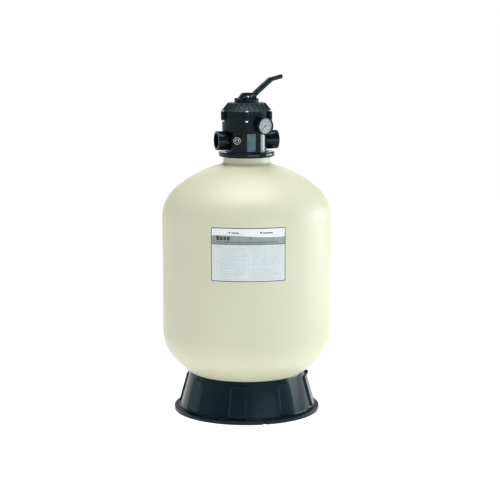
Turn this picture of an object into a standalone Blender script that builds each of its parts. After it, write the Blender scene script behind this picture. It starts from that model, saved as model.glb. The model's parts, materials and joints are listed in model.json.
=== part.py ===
"""Sand filter tank: a moulded pressure tank on a skirt base, with a top-mounted multiport valve.

Metres, +Z up. The origin is on the floor, on the tank's axis. The front, with the data label, faces -Y.
An azimuth is in degrees, counted from the front (-Y) towards +X.
"""

import math

import bmesh
import bpy
from mathutils import Matrix, Vector

# ---------------------------------------------------------------- driving dimensions
GAP = 0.0003                       # clearance between pieces that rest on each other

TANK_RADIUS = 0.28575              # a 22.5 inch tank
TANK_WALL = 0.0065
TOP_TANGENT_Z = 0.661              # the cylinder's upper end
LOW_TANGENT_Z = 0.2775             # the cylinder's lower end
TOP_KNUCKLE, TOP_CROWN = 0.1273, 0.3629
LOW_KNUCKLE, LOW_CROWN = 0.1436, 0.3366
NECK_RADIUS, NECK_BORE, NECK_FILLET = 0.0785, 0.0700, 0.012
TANK_STEPS = 28

BASE_HEIGHT = 0.129
BASE_TOP_RADIUS, BASE_LOW_RADIUS, FOOT_RADIUS = 0.1965, 0.2285, 0.248
FOOT_THICK, BASE_WALL = 0.0125, 0.005
PILASTER_STEP, PILASTER_COUNT, PILASTER_TURN = 0.0062, 8, -8.0
SEAT_INNER_RADIUS, SEAT_GAP = 0.150, 0.0010
ANCHOR_RADIUS, ANCHOR_AZIMUTH = 0.006, 14.0

LABEL_WIDTH, LABEL_LOW_Z, LABEL_TOP_Z, LABEL_THICK = 0.2485, 0.4842, 0.6610, 0.0004
LABEL_AZIMUTH = 1.3

JOINT_Z = 0.874                    # where the valve sits on the tank's neck
FLANGE_RADIUS = 0.0875
BAND_RADIUS, BAND_LOW_Z, BAND_TOP_Z = 0.0944, 0.8653, 0.8820

VALVE_TURN = 19.0                  # the ports' angle from the X and Y axes
VALVE_STEPS = 24
LOWER_RADIUS, LOWER_BORE = 0.068, 0.062
LEDGE_Z, FLOOR_TOP_Z, FLOOR_LOW_Z = 0.950, 0.955, 0.944
BOWL_RADIUS, BOWL_BORE = 0.0824, 0.0765
LID_JOINT_Z = 1.005
RISER_RADIUS, RISER_BORE, RISER_LOW_Z = 0.031, 0.0253, 0.835
PORT_Z, PORT_RADIUS, PORT_REACH = 0.920, 0.032, 0.107
SOCKET_RADIUS, SOCKET_DEPTH, PORT_BORE = 0.02415, 0.035, 0.0205
WINDOW_RADIUS, WINDOW_RING = 0.010, 0.047

RIM_RADIUS, RIM_LOW_Z = 0.0845, 0.991    # the flanges between body and lid
SEAT_CLEARANCE = 0.0005            # round a piece that slides into its place
LID_FLANGE_TOP_Z, LID_TOP_Z, LID_TOP_RADIUS = 1.019, 1.046, 0.063
COLLAR_RADIUS, COLLAR_BORE, COLLAR_TOP_Z = 0.041, 0.033, 1.060
COLLAR_FLOOR_Z = 1.050
BOSS_RADIUS, BOSS_LOW_Z = 0.019, 1.028
SCREW_COUNT, SCREW_RING, SCREW_RADIUS, LUG_RADIUS = 6, 0.0905, 0.003, 0.0070

STEM_RADIUS, STEM_BORE = 0.011, 0.012
TONGUE_HALF_WIDTH, TONGUE_HALF_THICK = 0.008, 0.006
PIN_Z, PIN_RADIUS, PIN_PLAY = 1.066, 0.003, 0.00025
DIVERTER_LOW_Z, DIVERTER_RADIUS = 0.9580, 0.0738
SPRING_LOW_Z, SPRING_TOP_Z, SPRING_COIL, SPRING_WIRE = 0.9745, 1.0360, 0.0265, 0.0022
SPRING_TURNS = 5

HANDLE_AZIMUTH = 90.0 + VALVE_TURN
PRESS_ANGLE, DIVERTER_LIFT = math.radians(27.0), 0.008
HUB_HALF_WIDTH, LEVER_HALF_WIDTH, LEVER_THICK = 0.017, 0.013, 0.014
WASHER_TOP_Z = 1.0518

GAUGE_AZIMUTH, GAUGE_Z = 33.0, 0.973
GAUGE_RADIUS, DIAL_RADIUS = 0.029, 0.0258
GAUGE_BACK, GAUGE_FACE = 0.0955, 0.119
NEEDLE_REST = 225.0                # degrees clockwise from the top of the dial

SIGHT_OFFSET, SIGHT_Z, SIGHT_RADIUS = -0.0536, 0.9225, 0.0145
SIGHT_BOSS_RADIUS, SIGHT_BOSS_END, SIGHT_SKIRT, SIGHT_END = 0.012, 0.053, 0.0502, 0.060
SIGHT_BORE, SIGHT_BACK = 0.0075, 0.0560

DRAIN_AZIMUTH, DRAIN_TILT, DRAIN_R, DRAIN_Z = 97.0, -22.0, 0.200, 0.114
DRAIN_RADIUS, DRAIN_BORE, DRAIN_CAP_RADIUS = 0.0100, 0.0065, 0.0125

LATERAL_COUNT, LATERAL_RADIUS, LATERAL_Z = 8, 0.009, 0.158
LATERAL_START, LATERAL_END = 0.0475, 0.192
LATERAL_HUB_RADIUS, LATERAL_HUB_LOW_Z, LATERAL_HUB_TOP_Z = 0.045, 0.138, 0.205
PIPE_RADIUS, PIPE_BORE = 0.02415, 0.0205
SAND_TOP_Z = 0.520

OBJECT_NAME = "sand_filter_tank"


# ---------------------------------------------------------------- scene, materials and placing
def empty_scene():
    for thing in list(bpy.data.objects):
        bpy.data.objects.remove(thing)
    for name in (OBJECT_NAME, OBJECT_NAME + "_cutters"):
        bpy.context.scene.collection.children.link(bpy.data.collections.new(name))


def material(name, colour, roughness, metallic=0.0):
    made = bpy.data.materials.get(name) or bpy.data.materials.new(name)
    made.use_nodes = True
    shader = made.node_tree.nodes["Principled BSDF"]
    shader.inputs["Base Color"].default_value = (*colour, 1.0)
    shader.inputs["Roughness"].default_value = roughness
    shader.inputs["Metallic"].default_value = metallic
    return made


def ivory_plastic():
    return material("ivory_plastic", (0.78, 0.77, 0.65), 0.4)


def black_plastic():
    return material("black_plastic", (0.012, 0.014, 0.016), 0.25)


def grey_plastic():
    return material("grey_plastic", (0.25, 0.26, 0.27), 0.5)


def white_plastic():
    return material("white_plastic", (0.8, 0.8, 0.78), 0.45)


def clear_plastic():
    return material("clear_plastic", (0.75, 0.8, 0.8), 0.1)


def rubber():
    return material("rubber", (0.015, 0.015, 0.015), 0.8)


def steel():
    return material("stainless_steel", (0.6, 0.6, 0.6), 0.25, 1.0)


def brass():
    return material("brass", (0.72, 0.52, 0.22), 0.3, 1.0)


def silica_sand():
    return material("silica_sand", (0.55, 0.47, 0.34), 0.95)


def label_film():
    return material("label_film", (0.62, 0.66, 0.66), 0.35)


def place(thing, paint, matrix=None, parent=None):
    """Puts an object in the collection, at a place in its parent's frame."""
    bpy.data.collections[OBJECT_NAME].objects.link(thing)
    if paint:
        thing.data.materials.append(paint)
    thing.parent = parent
    thing.matrix_local = matrix or Matrix.Identity(4)
    return thing


def as_cutter(thing):
    bpy.data.collections[OBJECT_NAME].objects.unlink(thing)
    bpy.data.collections[OBJECT_NAME + "_cutters"].objects.link(thing)
    thing.hide_render = True
    thing.display_type = "WIRE"
    return thing


def boolean(thing, tool, operation):
    step = thing.modifiers.new(operation.lower() + "_" + tool.name, "BOOLEAN")
    step.operation = operation
    step.solver = "EXACT"
    step.object = tool


def cut(thing, *tools):
    for tool in tools:
        boolean(thing, as_cutter(tool), "DIFFERENCE")


def join(thing, *tools):
    for tool in tools:
        boolean(thing, as_cutter(tool), "UNION")


def polar(radius, azimuth, z):
    angle = math.radians(azimuth)
    return Vector((radius * math.sin(angle), -radius * math.cos(angle), z))


def outward(azimuth, radius, z, tilt=0.0):
    """A frame whose local Z points out of the tank, local Y up and local X right, seen from outside."""
    angle, rise = math.radians(azimuth), math.radians(tilt)
    right = Vector((math.cos(angle), math.sin(angle), 0))
    level = Vector((math.sin(angle), -math.cos(angle), 0))
    out = level * math.cos(rise) + Vector((0, 0, math.sin(rise)))
    up = out.cross(right)
    turn = Matrix((right, up, out)).transposed().to_4x4()
    return Matrix.Translation(polar(radius, azimuth, z)) @ turn


# ---------------------------------------------------------------- shapes
def mesh_object(name, bm):
    data = bpy.data.meshes.new(name)
    bm.to_mesh(data)
    bm.free()
    return bpy.data.objects.new(name, data)


def turned(name, profile, paint, matrix=None, parent=None, steps=24, closed=True):
    """A profile of (radius, height) points, down the outer side first, turned about the local Z axis."""
    bm = bmesh.new()
    points = [bm.verts.new((radius, 0, height)) for radius, height in profile]
    for first, second in zip(points, points[1:]):
        bm.edges.new((first, second))
    if closed:
        bm.edges.new((points[-1], points[0]))
    thing = place(mesh_object(name, bm), paint, matrix, parent)
    screw = thing.modifiers.new("turn", "SCREW")
    screw.angle = math.tau
    screw.steps = screw.render_steps = steps
    screw.use_merge_vertices = True
    screw.merge_threshold = 0.00001
    screw.use_smooth_shade = True
    return thing


def ring(name, outer, inner, low, top, paint, matrix=None, parent=None, steps=24):
    profile = [(outer, top), (outer, low), (inner, low), (inner, top)]
    return turned(name, profile, paint, matrix, parent, steps)


def disc(name, radius, low, top, paint, matrix=None, parent=None, steps=24):
    profile = [(0, top), (radius, top), (radius, low), (0, low)]
    return turned(name, profile, paint, matrix, parent, steps, closed=False)


def circle_points(centre, radius, count=6):
    """A ring section's outline, clockwise, so that it runs down its outer side."""
    angles = [-math.tau * i / count for i in range(count)]
    return [(centre[0] + radius * math.cos(a), centre[1] + radius * math.sin(a)) for a in angles]


def o_ring(name, radius, z, thickness, parent=None, steps=20):
    return turned(name, circle_points((radius, z), thickness), rubber(), None, parent, steps)


def rod(name, radius, start, end, paint=None, parent=None, segments=24):
    """A cylinder from one point to another."""
    start, end = Vector(start), Vector(end)
    along = end - start
    turn = along.to_track_quat("Z", "Y").to_matrix().to_4x4()
    bm = bmesh.new()
    matrix = Matrix.Translation((start + end) / 2) @ turn
    bmesh.ops.create_cone(bm, cap_ends=True, segments=segments, radius1=radius, radius2=radius,
                          depth=along.length, matrix=matrix)
    return place(mesh_object(name, bm), paint, None, parent)


def block(name, low, high, paint=None, matrix=None, parent=None):
    """A box between two corners."""
    low, high = Vector(low), Vector(high)
    bm = bmesh.new()
    size = Matrix.Diagonal((*(high - low), 1))
    bmesh.ops.create_cube(bm, size=1, matrix=Matrix.Translation((low + high) / 2) @ size)
    return place(mesh_object(name, bm), paint, matrix, parent)


def plate(name, outline, half_thick, paint=None, matrix=None, parent=None):
    """A flat outline in the local XY plane, given its thickness along local Z, as a mesh."""
    curve = bpy.data.curves.new(name + "_outline", "CURVE")
    curve.dimensions = "2D"
    curve.fill_mode = "BOTH"
    curve.extrude = half_thick
    spline = curve.splines.new("POLY")
    spline.points.add(len(outline) - 1)
    for point, (x, y) in zip(spline.points, outline):
        point.co = (x, y, 0, 1)
    spline.use_cyclic_u = True
    guide = bpy.data.objects.new(name + "_outline", curve)
    bpy.context.scene.collection.objects.link(guide)
    bpy.context.view_layer.update()
    shape = guide.evaluated_get(bpy.context.evaluated_depsgraph_get())
    data = bpy.data.meshes.new_from_object(shape)
    bpy.data.objects.remove(guide)
    bm = bmesh.new()
    bm.from_mesh(data)
    bmesh.ops.remove_doubles(bm, verts=bm.verts, dist=0.00001)
    bmesh.ops.recalc_face_normals(bm, faces=bm.faces)
    bpy.data.meshes.remove(data)
    return place(mesh_object(name, bm), paint, matrix, parent)


def wire(name, points, radius, paint, matrix=None, parent=None, resolution=2):
    """A round wire through points."""
    curve = bpy.data.curves.new(name, "CURVE")
    curve.dimensions = "3D"
    curve.bevel_depth = radius
    curve.bevel_resolution = resolution
    curve.use_fill_caps = True
    curve.render_resolution_u = 0
    spline = curve.splines.new("POLY")
    spline.points.add(len(points) - 1)
    for point, place_at in zip(spline.points, points):
        point.co = (*place_at, 1)
    return place(bpy.data.objects.new(name, curve), paint, matrix, parent)


def arc(centre, radius, start, end, count):
    """Points on an arc of a profile, from one angle to another in radians, both ends included."""
    steps = [start + (end - start) * i / count for i in range(count + 1)]
    return [(centre[0] + radius * math.cos(a), centre[1] + radius * math.sin(a)) for a in steps]


# ---------------------------------------------------------------- tank
class Head:
    """A dished tank head: a knuckle that leaves the cylinder, and a spherical crown over the axis."""

    def __init__(self, tangent_z, knuckle, crown, side):
        self.side = side                       # +1 for the top head, -1 for the bottom one
        self.knuckle, self.crown = knuckle, crown
        self.knuckle_centre = (TANK_RADIUS - knuckle, tangent_z)
        rise = math.sqrt((crown - knuckle) ** 2 - self.knuckle_centre[0] ** 2)
        self.crown_z = tangent_z - side * rise
        self.meet = math.atan2(rise, self.knuckle_centre[0])

    def z(self, radius, inset=0.0):
        """The head's height over a radius, or of the surface that lies inset inside it."""
        return self.crown_z + self.side * math.sqrt((self.crown - inset) ** 2 - radius ** 2)

    def knuckle_arc(self, inset=0.0, count=5):
        """From the cylinder to the crown."""
        return arc(self.knuckle_centre, self.knuckle - inset, 0, self.side * self.meet, count)

    def crown_arc(self, end_radius, inset=0.0, count=4):
        """From the knuckle to a radius near the axis."""
        size = self.crown - inset
        end = math.acos(end_radius / size)
        return arc((0, self.crown_z), size, self.side * self.meet, self.side * end, count)


TOP_HEAD = Head(TOP_TANGENT_Z, TOP_KNUCKLE, TOP_CROWN, 1)
LOW_HEAD = Head(LOW_TANGENT_Z, LOW_KNUCKLE, LOW_CROWN, -1)


def neck_fillet():
    """The hollow curve between the neck and the crown, from the neck down."""
    x = NECK_RADIUS + NECK_FILLET
    z = TOP_HEAD.crown_z + math.sqrt((TOP_CROWN + NECK_FILLET) ** 2 - x ** 2)
    meet = math.atan2(TOP_HEAD.crown_z - z, -x)
    return arc((x, z), NECK_FILLET, math.pi, meet + math.tau, 3)


def inner_wall(inset):
    """The inside of the tank, from the bottom head's pole up to the neck."""
    low = LOW_HEAD.knuckle_arc(inset) + LOW_HEAD.crown_arc(0.0, inset)[1:]
    low[-1] = (0.0, low[-1][1])
    top = TOP_HEAD.knuckle_arc(inset) + TOP_HEAD.crown_arc(NECK_BORE, inset)[1:]
    return low[::-1] + top


def tank_shell():
    groove_inner, groove_outer, groove_z = 0.0722, 0.0768, JOINT_Z - 0.0043
    flange_low_z = JOINT_Z - 0.0045
    fillet = neck_fillet()
    flange = [(FLANGE_RADIUS, JOINT_Z), (FLANGE_RADIUS, flange_low_z + 0.001),
              (NECK_RADIUS, flange_low_z - 0.0015)]
    top = TOP_HEAD.crown_arc(fillet[-1][0])[:0:-1] + TOP_HEAD.knuckle_arc()[::-1]
    low = LOW_HEAD.knuckle_arc() + LOW_HEAD.crown_arc(0.0)[1:]
    low[-1] = (0.0, low[-1][1])
    mouth = [(NECK_BORE, JOINT_Z), (groove_inner, JOINT_Z), (groove_inner, groove_z),
             (groove_outer, groove_z), (groove_outer, JOINT_Z)]
    profile = flange + fillet[:-1] + top + low + inner_wall(TANK_WALL) + mouth
    shell = turned("tank_shell", profile + [profile[0]], ivory_plastic(), steps=TANK_STEPS, closed=False)
    cut(shell, disc("drain_hole", DRAIN_RADIUS + GAP, -0.08, 0.03, None, drain_frame(), steps=16))


def tank_label():
    """A thin printed film that follows the tank's front."""
    radius, columns = TANK_RADIUS + GAP, 16
    bm = bmesh.new()
    width = math.degrees(LABEL_WIDTH / radius)
    loops = []
    for i in range(columns + 1):
        azimuth = LABEL_AZIMUTH + width * (i / columns - 0.5)
        corners = ((radius, LABEL_LOW_Z), (radius + LABEL_THICK, LABEL_LOW_Z),
                   (radius + LABEL_THICK, LABEL_TOP_Z), (radius, LABEL_TOP_Z))
        loops.append([bm.verts.new(polar(r, azimuth, z)) for r, z in corners])
    for left, right in zip(loops, loops[1:]):
        for i in range(4):
            j = (i + 1) % 4
            bm.faces.new((left[i], left[j], right[j], right[i]))
    bm.faces.new(loops[0])
    bm.faces.new(loops[-1][::-1])
    bmesh.ops.recalc_face_normals(bm, faces=bm.faces)
    place(mesh_object("data_label", bm), label_film())


# ---------------------------------------------------------------- base
def base_wall_radius(z):
    share = (z - FOOT_THICK) / (BASE_HEIGHT - FOOT_THICK)
    return BASE_LOW_RADIUS + (BASE_TOP_RADIUS - BASE_LOW_RADIUS) * share


def pilaster_angles():
    """Azimuths round the base, each with 1 on a raised pilaster and 0 between them."""
    around = []
    for i in range(PILASTER_COUNT):
        centre = PILASTER_TURN + 360 / PILASTER_COUNT * i
        for offset, raised in ((-8.1, 0), (-6.9, 1), (0, 1), (6.9, 1), (8.1, 0), (17.8, 0), (27.2, 0)):
            around.append((centre + offset, raised))
    return around


def base_skirt():
    """The skirt that the tank stands in: foot, leaning wall with pilasters, and a dished seat on top."""
    low_z, top_z = FOOT_THICK + 0.004, BASE_HEIGHT - 0.010
    blend = 0.0025
    seat = [(r, LOW_HEAD.z(r, -SEAT_GAP)) for r in (BASE_TOP_RADIUS - 0.0025, 0.173, SEAT_INNER_RADIUS)]
    levels = [(FOOT_RADIUS, 0, 0), (FOOT_RADIUS, FOOT_THICK - 0.002, 0),
              (FOOT_RADIUS - 0.002, FOOT_THICK, 0)]
    levels += [(base_wall_radius(FOOT_THICK), FOOT_THICK + 0.001, 0), (base_wall_radius(low_z), low_z, 0),
               (base_wall_radius(low_z + blend), low_z + blend, 1), (base_wall_radius(top_z), top_z, 1),
               (base_wall_radius(top_z + blend), top_z + blend, 0), (BASE_TOP_RADIUS, BASE_HEIGHT, 0),
               (BASE_TOP_RADIUS - 0.0015, BASE_HEIGHT + 0.0045, 0)]
    levels += [(r, z, 0) for r, z in seat]
    under = [(SEAT_INNER_RADIUS, seat[-1][1] - BASE_WALL), (BASE_TOP_RADIUS - 0.0068, BASE_HEIGHT - 0.009),
             (BASE_LOW_RADIUS - BASE_WALL, 0)]
    levels += [(r, z, 0) for r, z in under]

    bm = bmesh.new()
    around = pilaster_angles()
    loops = []
    for radius, z, stands in levels:
        loops.append([bm.verts.new(polar(radius + stands * raised * PILASTER_STEP, azimuth, z))
                      for azimuth, raised in around])
    for below, above in zip(loops, loops[1:] + loops[:1]):
        for i in range(len(around)):
            j = (i + 1) % len(around)
            bm.faces.new((below[i], below[j], above[j], above[i]))
    bmesh.ops.recalc_face_normals(bm, faces=bm.faces)
    base = place(mesh_object("base_skirt", bm), black_plastic())

    for i in range(4):
        foot = polar(FOOT_RADIUS - 0.002, ANCHOR_AZIMUTH + 90 * i, 0)
        cut(base, rod(f"anchor_notch_{i + 1}", ANCHOR_RADIUS, foot - Vector((0, 0, 0.01)),
                      foot + Vector((0, 0, 0.0115)), segments=12))
    clear = DRAIN_CAP_RADIUS + 0.002
    cut(base, disc("drain_notch", clear, -0.035, 0.03, None, drain_frame(), steps=16),
        block("drain_notch_top", (-clear, 0, -0.035), (clear, 0.04, 0.03), None, drain_frame()))


# ---------------------------------------------------------------- clamp
def clamp_band():
    """A split band whose vee pulls the valve's flange onto the tank's."""
    lip_low, lip_top, bore = JOINT_Z - 0.0054, JOINT_Z + 0.0056, FLANGE_RADIUS + 0.0014
    profile = [(BAND_RADIUS - 0.0015, BAND_TOP_Z), (BAND_RADIUS, BAND_TOP_Z - 0.0015),
               (BAND_RADIUS, BAND_LOW_Z + 0.0035), (BAND_RADIUS - 0.0035, BAND_LOW_Z),
               (NECK_RADIUS + 0.0020, BAND_LOW_Z), (NECK_RADIUS + 0.0020, lip_low - 0.0022),
               (bore, lip_low), (bore, lip_top - 0.0010),
               (LOWER_RADIUS + 0.0070, lip_top + 0.0012), (LOWER_RADIUS + 0.0070, BAND_TOP_Z)]
    band = turned("clamp_band", profile, black_plastic(), steps=28)
    gap, ear_end = 0.004, 0.114
    ear_low, ear_top = BAND_LOW_Z + 0.0010, BAND_TOP_Z - 0.0006
    for name, side in (("clamp_ear_left", -1), ("clamp_ear_right", 1)):
        near, far = sorted((side * gap, side * 0.014))
        join(band, block(name, (near, 0.091, ear_low), (far, ear_end, ear_top)))
    cut(band, block("clamp_split", (-gap, 0.05, 0.85), (gap, 0.12, 0.90)))
    middle = clamp_bolt_centre()
    cut(band, rod("clamp_bolt_hole", 0.0037, middle - Vector((0.03, 0, 0)), middle + Vector((0.03, 0, 0)),
                  segments=16))


def clamp_bolt_centre():
    return Vector((0, 0.104, (BAND_LOW_Z + BAND_TOP_Z) / 2))


def clamp_fasteners():
    along = Matrix.Translation(clamp_bolt_centre()) @ Matrix.Rotation(math.pi / 2, 4, "Y")
    head = [(0, 0.0196), (0.0062, 0.0196), (0.0062, 0.0143), (0.0032, 0.0143), (0.0032, -0.028), (0, -0.028)]
    turned("clamp_bolt", head, steel(), along, steps=12, closed=False)
    nut = [(0.0072, -0.0143), (0.0072, -0.0213), (0.0041, -0.0213), (0.0041, -0.0143)]
    turned("clamp_nut", nut, steel(), along, steps=6)


# ---------------------------------------------------------------- valve body
def valve_axis():
    axis = bpy.data.objects.new("valve_axis", None)
    bpy.data.collections[OBJECT_NAME].objects.link(axis)
    axis.rotation_euler.z = math.radians(VALVE_TURN)
    return axis


def screw_azimuths():
    return [360 / SCREW_COUNT * i for i in range(SCREW_COUNT)]


def lug_tools(prefix, low, top, turn=0.0, parent=None):
    """The lugs that take the lid screws, and the holes through them."""
    lugs, holes = [], []
    lift = Vector((0, 0, 1))
    for i, azimuth in enumerate(screw_azimuths()):
        at = polar(SCREW_RING, azimuth - turn, 0)
        lugs.append(rod(f"{prefix}_lug_{i + 1}", LUG_RADIUS, at + lift * (low + GAP),
                        at + lift * (top - GAP), parent=parent, segments=10))
        lugs.append(block(f"{prefix}_lug_root_{i + 1}", (-LUG_RADIUS * 0.98, 0.0832, low + 2 * GAP),
                          (LUG_RADIUS * 0.98, SCREW_RING, top - 2 * GAP), None,
                          Matrix.Rotation(math.radians(azimuth - turn + 180), 4, "Z"), parent))
        holes.append(rod(f"{prefix}_screw_hole_{i + 1}", SCREW_RADIUS + GAP, at + lift * (low - 0.01),
                         at + lift * (top + 0.01), parent=parent, segments=8))
    return lugs, holes


def port_direction(side):
    """The three ports' directions in the valve's own frame: left, right and back."""
    return {"left": Vector((-1, 0, 0)), "right": Vector((1, 0, 0)), "back": Vector((0, 1, 0))}[side]


def valve_body(axis):
    """The bowl that the diverter turns in, over a chamber with three side ports and a central riser."""
    flange_top = JOINT_Z + GAP
    groove_inner, groove_outer, groove_z = 0.0783, 0.0817, LID_JOINT_Z - GAP - 0.0032
    rim_top = LID_JOINT_Z - GAP
    throat, pipe_stop_z = 0.0215, 0.870
    profile = [(RIM_RADIUS, rim_top), (RIM_RADIUS, RIM_LOW_Z), (BOWL_RADIUS, RIM_LOW_Z),
               (BOWL_RADIUS, LEDGE_Z + 0.002),
               (BOWL_RADIUS - 0.002, LEDGE_Z), (LOWER_RADIUS, LEDGE_Z), (LOWER_RADIUS, flange_top + 0.0055),
               (FLANGE_RADIUS, flange_top + 0.0035), (FLANGE_RADIUS, flange_top), (LOWER_BORE, flange_top),
               (LOWER_BORE, FLOOR_LOW_Z), (RISER_RADIUS, FLOOR_LOW_Z), (RISER_RADIUS, RISER_LOW_Z),
               (RISER_BORE, RISER_LOW_Z), (RISER_BORE, pipe_stop_z), (throat, pipe_stop_z + 0.002),
               (throat, FLOOR_TOP_Z), (BOWL_BORE, FLOOR_TOP_Z), (BOWL_BORE, rim_top),
               (groove_inner, rim_top), (groove_inner, groove_z), (groove_outer, groove_z),
               (groove_outer, rim_top)]
    body = turned("valve_body", profile, black_plastic(), parent=axis, steps=VALVE_STEPS)
    centre = Vector((0, 0, PORT_Z))
    for side in ("left", "right", "back"):
        out = port_direction(side)
        join(body, rod(f"port_{side}", PORT_RADIUS, centre + out * 0.027, centre + out * PORT_REACH,
                       parent=axis, segments=16))
    cut(body, rod("sight_seat", SIGHT_RADIUS + 0.0007, (SIGHT_OFFSET, -SIGHT_SKIRT + 0.0005, SIGHT_Z),
                  (SIGHT_OFFSET, -SIGHT_END - 0.01, SIGHT_Z), parent=axis, segments=20))
    join(body, rod("sight_boss", SIGHT_BOSS_RADIUS, (SIGHT_OFFSET, -0.022, SIGHT_Z),
                   (SIGHT_OFFSET, -SIGHT_BOSS_END, SIGHT_Z), parent=axis, segments=16))
    lugs, holes = lug_tools("body", RIM_LOW_Z, rim_top, VALVE_TURN, axis)
    join(body, *lugs)
    cut(body, *holes)
    for side in ("left", "right", "back"):
        out = port_direction(side)
        window = centre + out * WINDOW_RING
        cut(body, rod(f"bore_{side}", PORT_BORE, centre + out * 0.036, centre + out * 0.09, parent=axis,
                      segments=16),
            rod(f"socket_{side}", SOCKET_RADIUS, centre + out * (PORT_REACH - SOCKET_DEPTH),
                centre + out * 0.125, parent=axis, segments=16),
            rod(f"window_{side}", WINDOW_RADIUS, window, window + Vector((0, 0, 0.045)), parent=axis,
                segments=12))
    for i, azimuth in enumerate((-30, 30)):
        foot = polar(WINDOW_RING, azimuth, 0.9365)
        cut(body, rod(f"tank_window_{i + 1}", WINDOW_RADIUS, foot, foot + Vector((0, 0, 0.03)), parent=axis,
                      segments=12))
    cut(body, rod("sight_bore", SIGHT_BORE, (SIGHT_OFFSET, -0.012, SIGHT_Z), (SIGHT_OFFSET, -0.06, SIGHT_Z),
                  parent=axis, segments=12))
    gauge_tap = outward(GAUGE_AZIMUTH - VALVE_TURN, 0, GAUGE_Z)
    cut(body, disc("gauge_hole", 0.0067, 0.070, 0.09, None, gauge_tap, axis, steps=12))
    return body


def spider_gasket(axis):
    """The rubber web on the bowl's floor that parts the ways from each other."""
    low, top = FLOOR_TOP_Z + GAP, FLOOR_TOP_Z + 0.0023
    half_spoke, spoke_reach = 0.0018, 0.0215
    web = ring("spider_gasket", 0.0715, 0.0665, low, top, rubber(), parent=axis, steps=24)
    join(web, ring("gasket_eye", 0.0275, 0.0235, low + 0.0001, top - 0.0001, None, parent=axis, steps=18))
    for i in range(6):
        spoke = polar(WINDOW_RING, 60 * i, 0)
        turn = Matrix.Translation(spoke) @ Matrix.Rotation(math.radians(60 * i), 4, "Z")
        join(web, block(f"gasket_spoke_{i + 1}", (-half_spoke, -spoke_reach, low + 0.0002),
                        (half_spoke, spoke_reach, top - 0.0002), None, turn, axis))


# ---------------------------------------------------------------- lid
def valve_lid():
    """The cover over the bowl: a cone up to a flat top, with the notched index collar and stem sleeve."""
    low = LID_JOINT_Z
    notch_half, notch_low_z = 0.0045, 1.0535
    profile = [(COLLAR_RADIUS, COLLAR_TOP_Z), (COLLAR_RADIUS, LID_TOP_Z), (LID_TOP_RADIUS, LID_TOP_Z),
               (RIM_RADIUS - 0.0010, LID_FLANGE_TOP_Z + 0.0006), (RIM_RADIUS, LID_FLANGE_TOP_Z),
               (RIM_RADIUS, low), (BOWL_BORE, low), (BOWL_BORE - 0.003, LID_FLANGE_TOP_Z - 0.006),
               (LID_TOP_RADIUS - 0.003, LID_TOP_Z - 0.006), (BOSS_RADIUS, LID_TOP_Z - 0.006),
               (BOSS_RADIUS, BOSS_LOW_Z), (STEM_BORE, BOSS_LOW_Z), (STEM_BORE, COLLAR_FLOOR_Z),
               (COLLAR_BORE, COLLAR_FLOOR_Z), (COLLAR_BORE, COLLAR_TOP_Z)]
    lid = turned("valve_lid", profile, black_plastic(), steps=VALVE_STEPS)
    lugs, holes = lug_tools("lid", low, LID_FLANGE_TOP_Z)
    join(lid, *lugs)
    cut(lid, *holes)
    for i in range(6):
        azimuth = HANDLE_AZIMUTH + 60 * i
        lean = Matrix.Rotation(math.radians(azimuth), 4, "Z")
        cut(lid, block(f"index_notch_{i + 1}", (-notch_half, -COLLAR_RADIUS - 0.004, notch_low_z),
                       (notch_half, -COLLAR_BORE + 0.003, COLLAR_TOP_Z + 0.005), None, lean))


def lid_fasteners():
    """Screws down through the lid's lugs, and nuts under the body's."""
    head_low, head_top, end = LID_FLANGE_TOP_Z + GAP, LID_FLANGE_TOP_Z + 0.0043, 0.9835
    for i, azimuth in enumerate(screw_azimuths()):
        at = Matrix.Translation(polar(SCREW_RING, azimuth, 0))
        screw = [(0, head_top), (0.0040, head_top), (0.0054, head_low + 0.0010), (0.0054, head_low),
                 (SCREW_RADIUS, head_low), (SCREW_RADIUS, end), (0, end)]
        turned(f"lid_screw_{i + 1}", screw, steel(), at, steps=12, closed=False)
        ring(f"lid_nut_{i + 1}", 0.0058, SCREW_RADIUS + 0.0005, RIM_LOW_Z - 0.0055, RIM_LOW_Z - GAP, steel(),
             at, steps=6)


# ---------------------------------------------------------------- diverter and its seals
def diverter(axis):
    """The turning key: a ported disc on the gasket, and a stem out through the lid with a flat tongue."""
    groove, low_ring, top_ring = 0.0087, 1.0340, 1.0395
    half, way_radius = 0.0016, 0.0135
    disc_top, hub_top, stem_top = 0.9730, 0.9850, 1.0432
    profile = [(0, stem_top), (STEM_RADIUS, stem_top)]
    for z in (top_ring, low_ring):
        profile += [(STEM_RADIUS, z + half), (groove, z + half), (groove, z - half), (STEM_RADIUS, z - half)]
    profile += [(STEM_RADIUS, hub_top), (0.018, hub_top - 0.002), (0.020, disc_top),
                (DIVERTER_RADIUS, disc_top - 0.001), (DIVERTER_RADIUS, DIVERTER_LOW_Z), (0, DIVERTER_LOW_Z)]
    key = turned("diverter", profile, white_plastic(), parent=axis, steps=24, closed=False)
    tongue_low = top_ring + half + 0.0008
    outline = [(-TONGUE_HALF_WIDTH, tongue_low), (TONGUE_HALF_WIDTH, tongue_low)]
    outline += arc((0, PIN_Z), TONGUE_HALF_WIDTH, 0, math.pi, 8)
    join(key, plate("stem_tongue", outline, TONGUE_HALF_THICK, None, handle_plane(), axis))
    for i, azimuth in enumerate((-90, -60, 30)):
        pocket = polar(WINDOW_RING, azimuth, 0)
        top = disc_top + 0.01 if azimuth == 30 else disc_top - 0.005
        cut(key, rod(f"diverter_way_{i + 1}", way_radius - 0.0004 * i,
                     pocket + Vector((0, 0, DIVERTER_LOW_Z - 0.01)), pocket + Vector((0, 0, top)),
                     parent=axis, segments=14))
    cut(key, disc("pin_hole", PIN_RADIUS + PIN_PLAY, -0.01, 0.01, None, pin_plane(), axis, steps=12))
    return (low_ring, top_ring)


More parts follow.
